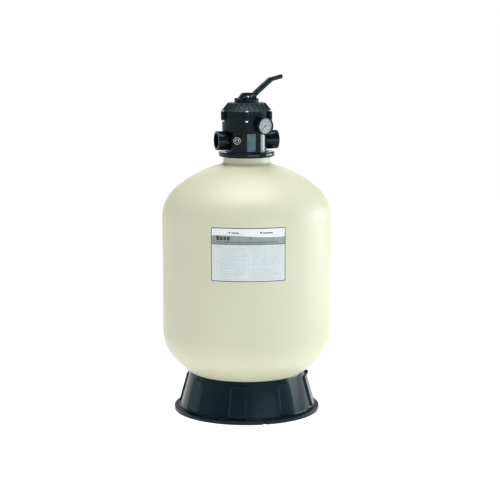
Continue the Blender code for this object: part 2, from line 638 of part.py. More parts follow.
def handle_plane():
    """In the valve's frame: local X along the lever, local Y up and local Z across it, through the axis."""
    angle = math.radians(HANDLE_AZIMUTH - VALVE_TURN)
    along = Vector((math.sin(angle), -math.cos(angle), 0))
    up = Vector((0, 0, 1))
    return Matrix((along, up, along.cross(up))).transposed().to_4x4()


def pin_plane():
    """The handle's plane with its origin at the pin."""
    return Matrix.Translation((0, 0, PIN_Z)) @ handle_plane()


def stem_parts(axis, ring_heights):
    for name, z in zip(("stem_o_ring_lower", "stem_o_ring_upper"), ring_heights):
        o_ring(name, 0.01030, z, 0.00125, axis, steps=20)
    ring("thrust_washer", 0.034, 0.0198, SPRING_TOP_Z + GAP, SPRING_TOP_Z + 0.0028, steel(), parent=axis,
         steps=24)
    ring("slip_washer", 0.0255, 0.0125, COLLAR_FLOOR_Z + GAP, WASHER_TOP_Z, white_plastic(), parent=axis,
         steps=24)
    low, top = SPRING_LOW_Z + SPRING_WIRE, SPRING_TOP_Z - SPRING_WIRE
    count = 11 * SPRING_TURNS
    rise = (top - low) / count
    helix = []
    for i in range(count + 1):
        angle = math.tau * SPRING_TURNS * i / count
        helix.append((SPRING_COIL * math.cos(angle), SPRING_COIL * math.sin(angle), low + rise * i))
    wire("diverter_spring", helix, SPRING_WIRE, steel(), parent=axis, resolution=1)


# ---------------------------------------------------------------- handle
def cam_points(base_height, lift_per_radian, count=5):
    """An involute heel: as the handle turns, its distance from the pin to the washer grows in proportion."""
    points = []
    for i in range(count + 1):
        turn = PRESS_ANGLE * i / count
        height = base_height + lift_per_radian * turn
        down = (math.sin(turn), -math.cos(turn))
        side = (math.cos(turn), math.sin(turn))
        points.append((height * down[0] + lift_per_radian * side[0],
                       height * down[1] + lift_per_radian * side[1]))
    return points


def lever_handle(axis):
    """A hub with two cheeks about the stem's tongue, and a cranked lever. The outline is round the pin."""
    base = PIN_Z - WASHER_TOP_Z - 0.0004
    heel = cam_points(base, DIVERTER_LIFT / PRESS_ANGLE)
    outline = [(-0.024, -base), *heel, (0.0315, 0.0025), (0.036, 0.0105), (0.012, 0.0130), (-0.013, 0.0130),
               (-0.027, -0.006)]
    handle = plate("handle", outline, HUB_HALF_WIDTH, black_plastic(), pin_plane(), axis)
    start, bend, tip = Vector((0.022, 0.0025)), Vector((0.0865, 0.0567)), Vector((0.1245, 0.0665))
    half = LEVER_THICK / 2
    first, last = (bend - start).normalized(), (tip - bend).normalized()
    side_1, side_2 = Vector((-first.y, first.x)), Vector((-last.y, last.x))
    mitre = (side_1 + side_2).normalized()
    mitre *= half / mitre.dot(side_1)
    lever = [start - side_1 * half, bend - mitre, tip - side_2 * half, tip + side_2 * half, bend + mitre,
             start + side_1 * half]
    join(handle, plate("lever_arm", [tuple(p) for p in lever], LEVER_HALF_WIDTH, None, pin_plane(), axis))
    slot_low, slot_left, slot_right = -0.030, -0.0088, 0.0185
    half_slot = TONGUE_HALF_THICK + 0.0004
    cut(handle, block("tongue_slot", (slot_left, slot_low, -half_slot), (slot_right, 0.0002, half_slot),
                      None, pin_plane(), axis),
        disc("tongue_slot_top", -slot_left + 0.0001, -half_slot + 0.00001, half_slot - 0.00001, None,
             pin_plane(), axis, steps=20),
        disc("handle_pin_hole", PIN_RADIUS + PIN_PLAY, -0.03, 0.03, None, pin_plane(), axis, steps=12))
    half_pin = HUB_HALF_WIDTH - 0.0005
    disc("handle_pin", PIN_RADIUS, -half_pin, half_pin, steel(), pin_plane(), axis, steps=12)


# ---------------------------------------------------------------- gauge and sight glass
def gauge():
    at = outward(GAUGE_AZIMUTH, 0, GAUGE_Z)
    bore = DIAL_RADIUS + 0.0007
    thread, hexagon, hex_start, hex_end = 0.0064, 0.0085, 0.0865, 0.0925
    case = [(GAUGE_RADIUS - 0.001, GAUGE_FACE), (GAUGE_RADIUS, GAUGE_FACE - 0.001),
            (GAUGE_RADIUS, GAUGE_BACK + 0.001), (GAUGE_RADIUS - 0.001, GAUGE_BACK), (0, GAUGE_BACK),
            (0, GAUGE_BACK + 0.002), (bore, GAUGE_BACK + 0.002), (bore, GAUGE_FACE)]
    turned("gauge_case", case + [case[0]], black_plastic(), at, steps=24, closed=False)
    stem = [(0, GAUGE_BACK - GAP), (thread, GAUGE_BACK - GAP), (thread, hex_end), (hexagon, hex_end),
            (hexagon, hex_start), (thread, hex_start), (thread, BOWL_BORE + 0.001), (0, BOWL_BORE + 0.001)]
    turned("gauge_stem", stem, brass(), at, steps=12, closed=False)
    ring("gauge_dial", DIAL_RADIUS, 0.0016, 0.1115, 0.1122, white_plastic(), at, steps=24)
    disc("gauge_lens", DIAL_RADIUS, 0.1163, 0.1183, clear_plastic(), at, steps=24)
    tube_ring, tube_station = 0.017, 0.105
    coil = [(tube_ring * math.cos(a), tube_ring * math.sin(a), tube_station)
            for a in (math.radians(-120 + 20 * i) for i in range(14))]
    wire("gauge_bourdon_tube", coil, 0.0022, brass(), at, resolution=1)

    pointing = at @ Matrix.Rotation(-math.radians(NEEDLE_REST), 4, "Z") @ Matrix.Translation((0, 0, 0.1136))
    tip, tail = 0.0185, -0.0065
    outline = [(-0.0005, tip), (-0.0008, 0), (-0.0016, tail), (0.0016, tail), (0.0008, 0), (0.0005, tip)]
    needle = plate("gauge_needle", outline, 0.0003, black_plastic(), pointing)
    join(needle, disc("needle_arbor", 0.0013, -0.0042, 0.0010, None, pointing, steps=10))


def sight_glass(axis):
    at = outward(0, 0, SIGHT_Z)
    at.translation.x = SIGHT_OFFSET
    skirt = SIGHT_BOSS_RADIUS + 0.0004
    glass = [(0, SIGHT_END), (SIGHT_RADIUS - 0.0010, SIGHT_END), (SIGHT_RADIUS, SIGHT_END - 0.001),
             (SIGHT_RADIUS, SIGHT_SKIRT), (skirt, SIGHT_SKIRT), (skirt, SIGHT_BACK), (0, SIGHT_BACK)]
    turned("sight_glass", glass, clear_plastic(), at, axis, steps=20, closed=False)
    ring("sight_glass_seal", 0.0118, 0.0085, SIGHT_BOSS_END + GAP, SIGHT_BACK - GAP, rubber(), at, axis,
         steps=16)


# ---------------------------------------------------------------- drain
def drain_frame():
    return outward(DRAIN_AZIMUTH, DRAIN_R, DRAIN_Z, DRAIN_TILT)


def drain():
    """A spigot through the lower head, with a screen inside the tank and a cap outside it."""
    at = drain_frame()
    face, spigot_end, screen_end = 0.0045, -0.034, -0.058
    spigot = [(DRAIN_RADIUS, face), (DRAIN_RADIUS, spigot_end), (DRAIN_BORE, spigot_end), (DRAIN_BORE, face)]
    turned("drain_spigot", spigot, black_plastic(), at, steps=20)
    screen = [(DRAIN_RADIUS, spigot_end - GAP), (DRAIN_RADIUS, screen_end), (0, screen_end),
              (0, screen_end + 0.002), (DRAIN_BORE, screen_end + 0.002), (DRAIN_BORE, spigot_end - GAP)]
    turned("drain_screen", screen + [screen[0]], grey_plastic(), at, steps=16, closed=False)
    ring("drain_gasket", 0.0094, DRAIN_BORE, face + GAP, face + 0.0020, rubber(), at, steps=20)
    cap_inside, cap_top, skirt = face + 0.0023, 0.0098, DRAIN_RADIUS + 0.0004
    cap = [(0, cap_top), (DRAIN_CAP_RADIUS - 0.001, cap_top), (DRAIN_CAP_RADIUS, cap_top - 0.001),
           (DRAIN_CAP_RADIUS, -face), (skirt, -face), (skirt, cap_inside), (0, cap_inside)]
    turned("drain_cap", cap, black_plastic(), at, steps=20, closed=False)


# ---------------------------------------------------------------- inside the tank
def lateral_azimuths():
    return [360 / LATERAL_COUNT * (i + 0.5) for i in range(LATERAL_COUNT)]


def underdrain():
    """The standpipe, and the hub at its foot with slotted laterals under the sand."""
    socket_z = LATERAL_HUB_TOP_Z - 0.030
    ring("standpipe", PIPE_RADIUS, PIPE_BORE, socket_z + GAP, 0.8690, grey_plastic(), steps=24)
    bore, hub_floor = PIPE_RADIUS + SEAT_CLEARANCE, LATERAL_HUB_LOW_Z + 0.005
    profile = [(0.032, LATERAL_HUB_TOP_Z), (0.032, socket_z), (LATERAL_HUB_RADIUS, socket_z - 0.004),
               (LATERAL_HUB_RADIUS, LATERAL_HUB_LOW_Z), (0, LATERAL_HUB_LOW_Z), (0, hub_floor),
               (0.018, hub_floor), (0.018, socket_z), (bore, socket_z), (bore, LATERAL_HUB_TOP_Z)]
    hub = turned("lateral_hub", profile + [profile[0]], grey_plastic(), steps=16, closed=False)
    stub, stub_bore, stub_end, bore = 0.0058, 0.0040, 0.037, LATERAL_RADIUS - 0.0022
    for i, azimuth in enumerate(lateral_azimuths()):
        at = outward(azimuth, 0, LATERAL_Z)
        cut(hub, disc(f"lateral_socket_{i + 1}", 0.0064, 0.010, 0.060, None, at, steps=8))
        tube = [(0, LATERAL_END), (LATERAL_RADIUS - 0.003, LATERAL_END),
                (LATERAL_RADIUS, LATERAL_END - 0.004), (LATERAL_RADIUS, LATERAL_START),
                (stub, LATERAL_START), (stub, stub_end),
                (stub_bore, stub_end), (stub_bore, LATERAL_START), (bore, LATERAL_START + 0.001),
                (bore, LATERAL_END - 0.005), (0, LATERAL_END - 0.003)]
        turned(f"lateral_{i + 1}", tube, grey_plastic(), at, steps=8, closed=False)


def diffuser():
    """The dish under the valve that spreads the incoming water over the sand."""
    sleeve, sleeve_top, lip_top = RISER_RADIUS + 0.0004, 0.8420, 0.8290
    dish, bend, low, wall = 0.0630, 0.0550, 0.8190, 0.0028
    profile = [(dish, lip_top), (dish, low + 0.0045), (bend, low), (sleeve, low), (sleeve, sleeve_top),
               (sleeve + wall, sleeve_top), (sleeve + wall, low + 0.0035), (bend - 0.001, low + 0.0035),
               (dish - 0.0022, low + 0.0065), (dish - 0.0022, lip_top)]
    turned("diffuser", profile, grey_plastic(), steps=20)


def sand_bed():
    """The filter sand, from the bottom head up to its level, round everything that it buries."""
    inset = TANK_WALL + 0.0005
    low = LOW_HEAD.knuckle_arc(inset) + LOW_HEAD.crown_arc(0.0, inset)[1:]
    low[-1] = (0.0, low[-1][1])
    side = TANK_RADIUS - inset
    profile = [(0, SAND_TOP_Z), (side, SAND_TOP_Z)] + low
    sand = turned("sand_bed", profile, silica_sand(), steps=TANK_STEPS, closed=False)
    hub = LATERAL_HUB_RADIUS + 0.0006
    cut(sand, disc("sand_pipe", 0.0328, LATERAL_HUB_TOP_Z - 0.045, SAND_TOP_Z + 0.05, None, steps=24),
        disc("sand_hub", hub, LATERAL_HUB_LOW_Z - 0.0008, LATERAL_HUB_TOP_Z - 0.029, None, steps=24))
    for i, azimuth in enumerate(lateral_azimuths()):
        cut(sand, disc(f"sand_lateral_{i + 1}", LATERAL_RADIUS + 0.0007, 0.030, LATERAL_END + 0.0008, None,
                       outward(azimuth, 0, LATERAL_Z), steps=8))
    cut(sand, disc("sand_drain", DRAIN_RADIUS + 0.0006, -0.0590, 0.0, None, drain_frame(), steps=16))


def build():
    empty_scene()
    tank_shell()
    tank_label()
    base_skirt()
    clamp_band()
    clamp_fasteners()
    axis = valve_axis()
    valve_body(axis)
    o_ring("flange_o_ring", 0.0745, JOINT_Z - 0.0021, 0.0020, steps=TANK_STEPS)
    o_ring("lid_o_ring", 0.0800, LID_JOINT_Z - GAP - 0.0016, 0.0014, axis, steps=VALVE_STEPS)
    spider_gasket(axis)
    valve_lid()
    lid_fasteners()
    ring_heights = diverter(axis)
    stem_parts(axis, ring_heights)
    lever_handle(axis)
    gauge()
    sight_glass(axis)
    drain()
    underdrain()
    diffuser()
    sand_bed()


build()
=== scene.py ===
"""The looks of the sand filter tank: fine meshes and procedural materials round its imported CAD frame.

Metres, +Z up. The front, with the data label, faces -Y. An azimuth is in degrees from the front towards +X.
"""

import json
import math

import bmesh
import bpy
from mathutils import Matrix, Vector


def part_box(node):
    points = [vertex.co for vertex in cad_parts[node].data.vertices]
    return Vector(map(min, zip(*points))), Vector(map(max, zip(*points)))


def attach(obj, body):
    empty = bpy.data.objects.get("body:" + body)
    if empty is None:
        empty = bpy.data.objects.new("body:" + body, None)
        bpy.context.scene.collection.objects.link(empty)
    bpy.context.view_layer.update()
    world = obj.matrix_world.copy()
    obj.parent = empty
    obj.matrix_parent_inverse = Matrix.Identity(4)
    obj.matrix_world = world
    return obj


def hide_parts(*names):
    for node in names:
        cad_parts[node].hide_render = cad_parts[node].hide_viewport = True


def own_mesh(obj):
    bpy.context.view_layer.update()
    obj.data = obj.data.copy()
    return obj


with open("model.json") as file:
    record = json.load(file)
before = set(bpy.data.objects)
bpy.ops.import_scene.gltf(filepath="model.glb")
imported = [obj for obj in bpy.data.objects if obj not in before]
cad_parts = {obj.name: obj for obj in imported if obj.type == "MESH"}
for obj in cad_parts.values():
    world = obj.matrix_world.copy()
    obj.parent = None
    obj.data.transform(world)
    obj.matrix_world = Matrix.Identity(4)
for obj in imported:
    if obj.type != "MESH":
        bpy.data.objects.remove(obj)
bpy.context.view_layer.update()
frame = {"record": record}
RECORD = frame["record"]
BODY_OF = {node: body for body, nodes in RECORD["behaviour"]["bodies"].items() for node in nodes}

# ---------------------------------------------------------------- dimensions
GAP = 0.0003
TANK_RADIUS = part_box("tank_shell")[1].x
JOINT_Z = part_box("tank_shell")[1].z
TANK_WALL = 0.0065
TOP_TANGENT_Z, TOP_KNUCKLE, TOP_CROWN = 0.661, 0.1273, 0.3629
LOW_TANGENT_Z, LOW_KNUCKLE, LOW_CROWN = 0.2775, 0.1436, 0.3366
NECK_RADIUS, NECK_BORE, NECK_FILLET, FLANGE_RADIUS = 0.0785, 0.07, 0.012, 0.0875
FLANGE_THICK, NECK_GROOVE, NECK_GROOVE_DEEP = 0.0045, (0.0722, 0.0768), 0.0043

BASE_HEIGHT, BASE_TOP_RADIUS, BASE_LOW_RADIUS, FOOT_RADIUS = 0.129, 0.1965, 0.2285, 0.248
FOOT_THICK, BASE_WALL, SEAT_INNER_RADIUS = 0.0125, 0.005, 0.15
PILASTERS, PILASTER_TURN, PILASTER_HALF, PILASTER_STEP = 8, -8.0, 8.1, 0.0062
PILASTER_LOW_Z, PILASTER_TOP_Z = 0.0165, 0.1215
ANCHOR_RADIUS, ANCHOR_AZIMUTH = 0.006, 14.0

BAND_RADIUS, BAND_LOW_Z, BAND_TOP_Z = 0.0944, 0.8653, 0.882

VALVE_TURN = 19.0
LOWER_RADIUS, LOWER_BORE, LEDGE_Z = 0.068, 0.062, 0.95
FLOOR_LOW_Z, FLOOR_TOP_Z, THROAT, PIPE_STOP_Z = 0.944, 0.955, 0.0215, 0.87
BOWL_RADIUS, BOWL_BORE, LID_JOINT_Z = 0.0824, 0.0765, 1.005
RISER_RADIUS, RISER_BORE, RISER_LOW_Z = 0.031, 0.0253, 0.835
PORT_Z, PORT_RADIUS, PORT_REACH = 0.92, 0.032, 0.107
SOCKET_RADIUS, SOCKET_DEPTH, PORT_BORE = 0.02415, 0.035, 0.0205
WINDOW_RADIUS, WINDOW_RING = 0.01, 0.047
RIM_RADIUS, RIM_LOW_Z, RIM_GROOVE, RIM_GROOVE_DEEP = 0.0845, 0.991, (0.0783, 0.0817), 0.0032
LID_FLANGE_TOP_Z, LID_TOP_Z, LID_TOP_RADIUS = 1.019, 1.046, 0.063
LID_RIBS, RIB_DEPTH = 24, 0.0042
COLLAR_RADIUS, COLLAR_BORE, COLLAR_TOP_Z, COLLAR_FLOOR_Z = 0.041, 0.033, 1.06, 1.05
BOSS_RADIUS, BOSS_LOW_Z = 0.019, 1.028
NOTCH_LOW_Z, NOTCH_HALF = 1.0535, 0.0045
SCREWS, SCREW_RING, SCREW_RADIUS, LUG_RADIUS = 6, 0.0905, 0.003, 0.007
SCREW_END_Z, NUT_LOW_Z, NUT_RADIUS = 0.9835, 0.9855, 0.0058

STEM_RADIUS, STEM_BORE, STEM_TOP_Z, STEM_RING_Z = 0.011, 0.012, 1.0432, (1.034, 1.0395)
TONGUE_HALF_WIDTH, TONGUE_HALF_THICK = 0.008, 0.006
PIN_Z, PIN_RADIUS, PIN_PLAY, WASHER_TOP_Z = 1.066, 0.003, 0.00025, 1.0518
DIVERTER_LOW_Z, DIVERTER_TOP_Z, DIVERTER_RADIUS, WAY_RADIUS = 0.958, 0.973, 0.0738, 0.0135
SPRING_LOW_Z, SPRING_TOP_Z, SPRING_COIL, SPRING_WIRE, SPRING_TURNS = 0.9745, 1.036, 0.0265, 0.0022, 5
DIVERTER_LIFT, PRESS_ANGLE = 0.008, math.radians(27.0)
HANDLE_AZIMUTH, HUB_HALF_WIDTH, LEVER_HALF_WIDTH, LEVER_THICK = 109.0, 0.017, 0.013, 0.014

GAUGE_AZIMUTH, GAUGE_Z, GAUGE_RADIUS, DIAL_RADIUS = 33.0, 0.973, 0.029, 0.0258
GAUGE_BACK, GAUGE_FACE, DIAL_FACE, NEEDLE_LEVEL = 0.0955, 0.119, 0.1122, 0.1136
GAUGE_THREAD, GAUGE_THREAD_END, HEXAGON_SPAN, LENS_BACK = 0.0064, 0.0775, (0.0866, 0.0924), 0.1163
BOURDON_RING, BOURDON_LEVEL, BOURDON_WIRE = 0.017, 0.105, 0.0022
DIAL_SWEEP, DIAL_ZERO, DIAL_TOP_NUMBER = 270.0, 225.0, 60

SIGHT_OFFSET, SIGHT_Z, SIGHT_RADIUS, SIGHT_END = -0.0536, 0.9225, 0.0145, 0.06
SIGHT_BOSS_RADIUS, SIGHT_BOSS_END, SIGHT_SKIRT, SIGHT_BACK = 0.012, 0.053, 0.0502, 0.056

DRAIN_AZIMUTH, DRAIN_TILT, DRAIN_R, DRAIN_Z = 97.0, -22.0, 0.2, 0.114
DRAIN_RADIUS, DRAIN_BORE, DRAIN_CAP_RADIUS, DRAIN_CAP_TOP = 0.01, 0.0065, 0.0125, 0.0098
DRAIN_FACE, SPIGOT_END, SCREEN_END = 0.0045, -0.034, -0.058

LATERALS, LATERAL_RADIUS, LATERAL_Z, LATERAL_START, LATERAL_END = 8, 0.009, 0.158, 0.0475, 0.192
LATERAL_WALL, STUB_RADIUS, STUB_BORE, STUB_END = 0.0022, 0.0058, 0.004, 0.037
SLOTS, SLOT_PITCH = 46, 0.003
HUB_RADIUS, HUB_LOW_Z, HUB_TOP_Z = 0.045, 0.138, 0.205
PIPE_RADIUS, PIPE_BORE, SAND_TOP_Z = 0.02415, 0.0205, 0.52

SMOOTH_BELOW = math.radians(32)    # edges that turn less than this are shaded smooth
ROUND_STEPS = 3                    # faces across a rounded corner


# ---------------------------------------------------------------- places
def polar(radius, azimuth, z):
    angle = math.radians(azimuth)
    return Vector((radius * math.sin(angle), -radius * math.cos(angle), z))


def frame_of(x_axis, y_axis, z_axis, origin=(0, 0, 0)):
    return Matrix.Translation(origin) @ Matrix((x_axis, y_axis, z_axis)).transposed().to_4x4()


def outward(azimuth, radius, z, tilt=0.0):
    """Local Z points out of the tank, local Y up and local X to the right as seen from outside."""
    angle, rise = math.radians(azimuth), math.radians(tilt)
    right = Vector((math.cos(angle), math.sin(angle), 0))
    level = Vector((math.sin(angle), -math.cos(angle), 0))
    out = level * math.cos(rise) + Vector((0, 0, math.sin(rise)))
    return frame_of(right, out.cross(right), out, polar(radius, azimuth, z))


def spin(azimuth):
    return Matrix.Rotation(math.radians(azimuth), 4, "Z")


VALVE = spin(VALVE_TURN)
ALONG = polar(1, HANDLE_AZIMUTH, 0)
UP = Vector((0, 0, 1))
PIN_PLANE = frame_of(ALONG, UP, ALONG.cross(UP), (0, 0, PIN_Z))
DRAIN = outward(DRAIN_AZIMUTH, DRAIN_R, DRAIN_Z, DRAIN_TILT)
GAUGE = outward(GAUGE_AZIMUTH, 0, GAUGE_Z)
SIGHT = VALVE @ Matrix.Translation((SIGHT_OFFSET, 0, 0)) @ outward(0, 0, SIGHT_Z)
PORTS = (-90, 90, 180)
PORT_PLACES = [VALVE @ outward(azimuth, 0, PORT_Z) for azimuth in PORTS]
SCREW_AZIMUTHS = [360 / SCREWS * i for i in range(SCREWS)]
SCREW_PLACES = [Matrix.Translation(polar(SCREW_RING, azimuth, 0)) for azimuth in SCREW_AZIMUTHS]
LATERAL_PLACES = [outward(360 / LATERALS * (i + 0.5), 0, LATERAL_Z) for i in range(LATERALS)]


# ---------------------------------------------------------------- outlines
def arc(centre, radius, start, end, count):
    angles = [start + (end - start) * i / count for i in range(count + 1)]
    return [(centre[0] + radius * math.cos(a), centre[1] + radius * math.sin(a)) for a in angles]


def hexagon(radius):
    return arc((0, 0), radius, 0, math.tau * 5 / 6, 5)


def softened(outline, reach=0.0008, closed=True):
    """The outline with its corners rounded. A point's third number is a reach of its own."""
    made = []
    last = len(outline) - 1
    for i, point in enumerate(outline):
        here = Vector(point[:2])
        size = point[2] if len(point) > 2 else reach
        if size == 0 or (not closed and i in (0, last)):
            made.append(tuple(here))
            continue
        before = Vector(outline[i - 1][:2]) - here
        after = Vector(outline[(i + 1) % len(outline)][:2]) - here
        size = min(size, before.length * 0.48, after.length * 0.48)
        start, end = here + before.normalized() * size, here + after.normalized() * size
        for k in range(ROUND_STEPS + 1):
            t = k / ROUND_STEPS
            made.append(tuple(start * (1 - t) ** 2 + here * 2 * t * (1 - t) + end * t * t))
    return made


def divided(outline, longest):
    """The outline with its long sides cut into shorter ones."""
    made = []
    for first, second in zip(outline, outline[1:] + outline[:1]):
        count = max(1, math.ceil((Vector(second) - Vector(first)).length / longest))
        made += [tuple(Vector(first).lerp(Vector(second), i / count)) for i in range(count)]
    return made


def smooth_step(value, low, high):
    t = min(1.0, max(0.0, (value - low) / (high - low)))
    return t * t * (3 - 2 * t)


def plain(outline):
    """The outline's points with no relief."""
    return [(radius, z, 0) for radius, z in outline]


# ---------------------------------------------------------------- shapes
def skin(bm, rows, wrap_rows=False, capped=False):
    """Faces between rows of vertices. A row of one vertex is a pole. Caps close the first and last rows."""
    pairs = list(zip(rows, rows[1:])) + ([(rows[-1], rows[0])] if wrap_rows else [])
    for a, b in pairs:
        count = max(len(a), len(b))
        for i in range(count):
            j = (i + 1) % count
            corners = [a[i % len(a)], a[j % len(a)], b[j % len(b)], b[i % len(b)]]
            corners = list(dict.fromkeys(corners))
            if len(corners) > 2:
                bm.faces.new(corners)
    for row in (rows[0], rows[-1]) if capped else ():
        bm.faces.new(row)


def lathe(profile, steps=96, at=None, closed=True, shift=None):
    """Points (radius, height) turned about local Z. shift(angle, radius, height) may move each point."""
    bm = bmesh.new()
    rows = []
    for radius, height in profile:
        row = []
        for i in range(1 if radius < 1e-7 else steps):
            angle = math.tau * i / steps
            r, h = shift(angle, radius, height) if shift else (radius, height)
            row.append(bm.verts.new((r * math.cos(angle), r * math.sin(angle), h)))
        rows.append(row)
    skin(bm, rows, wrap_rows=closed)
    if at:
        bm.transform(at)
    return bm


def turned(outline, reach, steps=96, at=None, shift=None):
    """An outline that starts and ends on the axis, its corners rounded, turned about local Z."""
    return lathe(softened(outline, reach, closed=False), steps, at, closed=False, shift=shift)


def ring(outer, inner, low, top, steps=64, at=None, reach=0.0004):
    return lathe(softened([(outer, top), (outer, low), (inner, low), (inner, top)], reach), steps, at)


def disc(radius, low, top, steps=64, at=None, reach=0.0004):
    return turned([(0, top), (radius, top), (radius, low), (0, low)], reach, steps, at)


def prism(outline, low, high, at=None, edge=0.0):
    """A flat outline drawn out along local Z, its edges bevelled."""
    bm = bmesh.new()
    rows = [[bm.verts.new((x, y, z)) for x, y in outline] for z in (low, high)]
    skin(bm, rows, capped=True)
    bmesh.ops.recalc_face_normals(bm, faces=bm.faces)
    if edge:
        sharp = [e for e in bm.edges if e.calc_face_angle(0) > SMOOTH_BELOW]
        bmesh.ops.bevel(bm, geom=sharp, offset=edge, segments=2, profile=0.5, affect="EDGES",
            clamp_overlap=True)
    if at:
        bm.transform(at)
    return bm


def block(low, high, at=None, edge=0.0):
    outline = [(low[0], low[1]), (high[0], low[1]), (high[0], high[1]), (low[0], high[1])]
    return prism(outline, low[2], high[2], at, edge)


def swept(points, section):
    """A section of (across, up) points carried along a path. section(i) gives the outline at each point."""
    bm = bmesh.new()
    rows = []
    normal = None
    for i, point in enumerate(points):
        ahead = points[min(i + 1, len(points) - 1)] - points[max(i - 1, 0)]
        ahead.normalize()
        if normal is None:
            normal = ahead.orthogonal().normalized()
        normal = (normal - ahead * normal.dot(ahead)).normalized()
        side = ahead.cross(normal)
        rows.append([bm.verts.new(point + side * x + normal * y) for x, y in section(i)])
    skin(bm, rows, capped=True)
    return bm


def round_wire(points, radius, sides=14):
    circle = arc((0, 0), radius, 0, math.tau * (sides - 1) / sides, sides - 1)
    ends = {0: 0.55, 1: 0.9, len(points) - 2: 0.9, len(points) - 1: 0.55}
    return swept(points, lambda i: [(x * ends.get(i, 1), y * ends.get(i, 1)) for x, y in circle])


def rod(radius, start, end, steps=48):
    start, end = Vector(start), Vector(end)
    turn = (end - start).to_track_quat("Z", "Y").to_matrix().to_4x4()
    return disc(radius, 0, (end - start).length, steps, Matrix.Translation(start) @ turn, reach=0)


def mesh_from(bm, name="tool"):
    data = bpy.data.meshes.new(name)
    bm.to_mesh(data)
    bm.free()
    return data


def added(name, data):
    """A new object in the scene."""
    thing = bpy.data.objects.new(name, data)
    bpy.context.scene.collection.objects.link(thing)
    return thing


def together(*meshes):
    """Meshes that don't touch, as one."""
    whole = bmesh.new()
    for bm in meshes:
        data = mesh_from(bm)
        whole.from_mesh(data)
        bpy.data.meshes.remove(data)
    return whole


def stand_in(bm):
    bmesh.ops.recalc_face_normals(bm, faces=bm.faces)
    return added("tool", mesh_from(bm))


def carved(first, joins=(), cuts=()):
    """The first mesh with the others joined to it or cut from it."""
    things = [stand_in(first)]
    for operation, tools in (("UNION", joins), ("DIFFERENCE", cuts)):
        for tool in tools:
            things.append(stand_in(tool))
            step = things[0].modifiers.new(operation, "BOOLEAN")
            step.operation, step.solver, step.object = operation, "MANIFOLD", things[-1]
    bpy.context.view_layer.update()
    shape = things[0].evaluated_get(bpy.context.evaluated_depsgraph_get())
    result = bmesh.new()
    result.from_mesh(shape.to_mesh())
    for thing in things:
        data = thing.data
        bpy.data.objects.remove(thing)
        bpy.data.meshes.remove(data)
    bmesh.ops.remove_doubles(result, verts=result.verts, dist=0.000002)
    bmesh.ops.dissolve_degenerate(result, edges=result.edges, dist=0.000002)
    return result


def piece(node, bm, paints, name=None, replaces=True):
    """A finished piece that rides where its CAD node does, and stands for it."""
    bmesh.ops.recalc_face_normals(bm, faces=bm.faces)
    for edge in bm.edges:
        edge.smooth = edge.calc_face_angle(0.0) < SMOOTH_BELOW
    for face in bm.faces:
        face.smooth = True
    data = mesh_from(bm, name or "fine_" + node)
    for paint in paints if isinstance(paints, (list, tuple)) else [paints]:
        data.materials.append(paint)
    thing = added(data.name, data)
    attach(thing, BODY_OF[node])
    if replaces:
        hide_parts(node)
    return thing


# ---------------------------------------------------------------- materials
def wire_up(tree, kind, **inputs):
    """A node with its inputs set by name: a value, or another node's output."""
    made = tree.nodes.new(kind)
    for name, value in inputs.items():
        socket = made.inputs[name.replace("_", " ")]
        if isinstance(value, bpy.types.NodeSocket):
            tree.links.new(value, socket)
        else:
            socket.default_value = value
    return made


def noise(tree, place, scale, detail=3.0, stretch=(1, 1, 1)):
    mapped = wire_up(tree, "ShaderNodeMapping", Vector=place, Scale=stretch)
    made = wire_up(tree, "ShaderNodeTexNoise", Vector=mapped.outputs["Vector"], Scale=scale, Detail=detail)
    return made.outputs["Fac"]


def ranged(tree, value, low, high, start=0.3, end=0.7):
    made = wire_up(tree, "ShaderNodeMapRange", Value=value, From_Min=start, From_Max=end, To_Min=low,
        To_Max=high)
    return made.outputs["Result"]


def fresh_material(name):
    """A material, its node tree and the object's own coordinates."""
    made = bpy.data.materials.new(name)
    made.use_nodes = True
    return made, made.node_tree, made.node_tree.nodes.new("ShaderNodeTexCoord").outputs["Object"]


def surface(name, colour, other, patch, rough, rough_scale, grain, depth, stretch=(1, 1, 1), metallic=0.0,
        level=0.5, edge=0.0, **more):
    """A moulded, cast or printed surface. Two tints drift into each other over patches of one over patch
    metres, roughness wanders between two values, and a fine grain stands depth metres high."""
    made, tree, place = fresh_material(name)
    shader = tree.nodes["Principled BSDF"]
    drift = noise(tree, place, patch)
    mix = tree.nodes.new("ShaderNodeMix")
    mix.data_type = "RGBA"
    mix.inputs["A"].default_value = (*colour, 1)
    mix.inputs["B"].default_value = (*other, 1)
    tree.links.new(ranged(tree, drift, 0, 1), mix.inputs["Factor"])
    tree.links.new(mix.outputs["Result"], shader.inputs["Base Color"])
    tree.links.new(ranged(tree, noise(tree, place, rough_scale, 5.0, stretch), *rough),
        shader.inputs["Roughness"])
    bump = wire_up(tree, "ShaderNodeBump", Height=noise(tree, place, grain, 2.0, stretch), Strength=1.0,
        Distance=depth)
    if edge:
        rounded = tree.nodes.new("ShaderNodeBevel")
        rounded.samples = 4
        rounded.inputs["Radius"].default_value = edge
        tree.links.new(rounded.outputs["Normal"], bump.inputs["Normal"])
    tree.links.new(bump.outputs["Normal"], shader.inputs["Normal"])
    shader.inputs["Metallic"].default_value = metallic
    shader.inputs["Specular IOR Level"].default_value = level
    for key, value in more.items():
        shader.inputs[key.replace("_", " ")].default_value = value
    return made


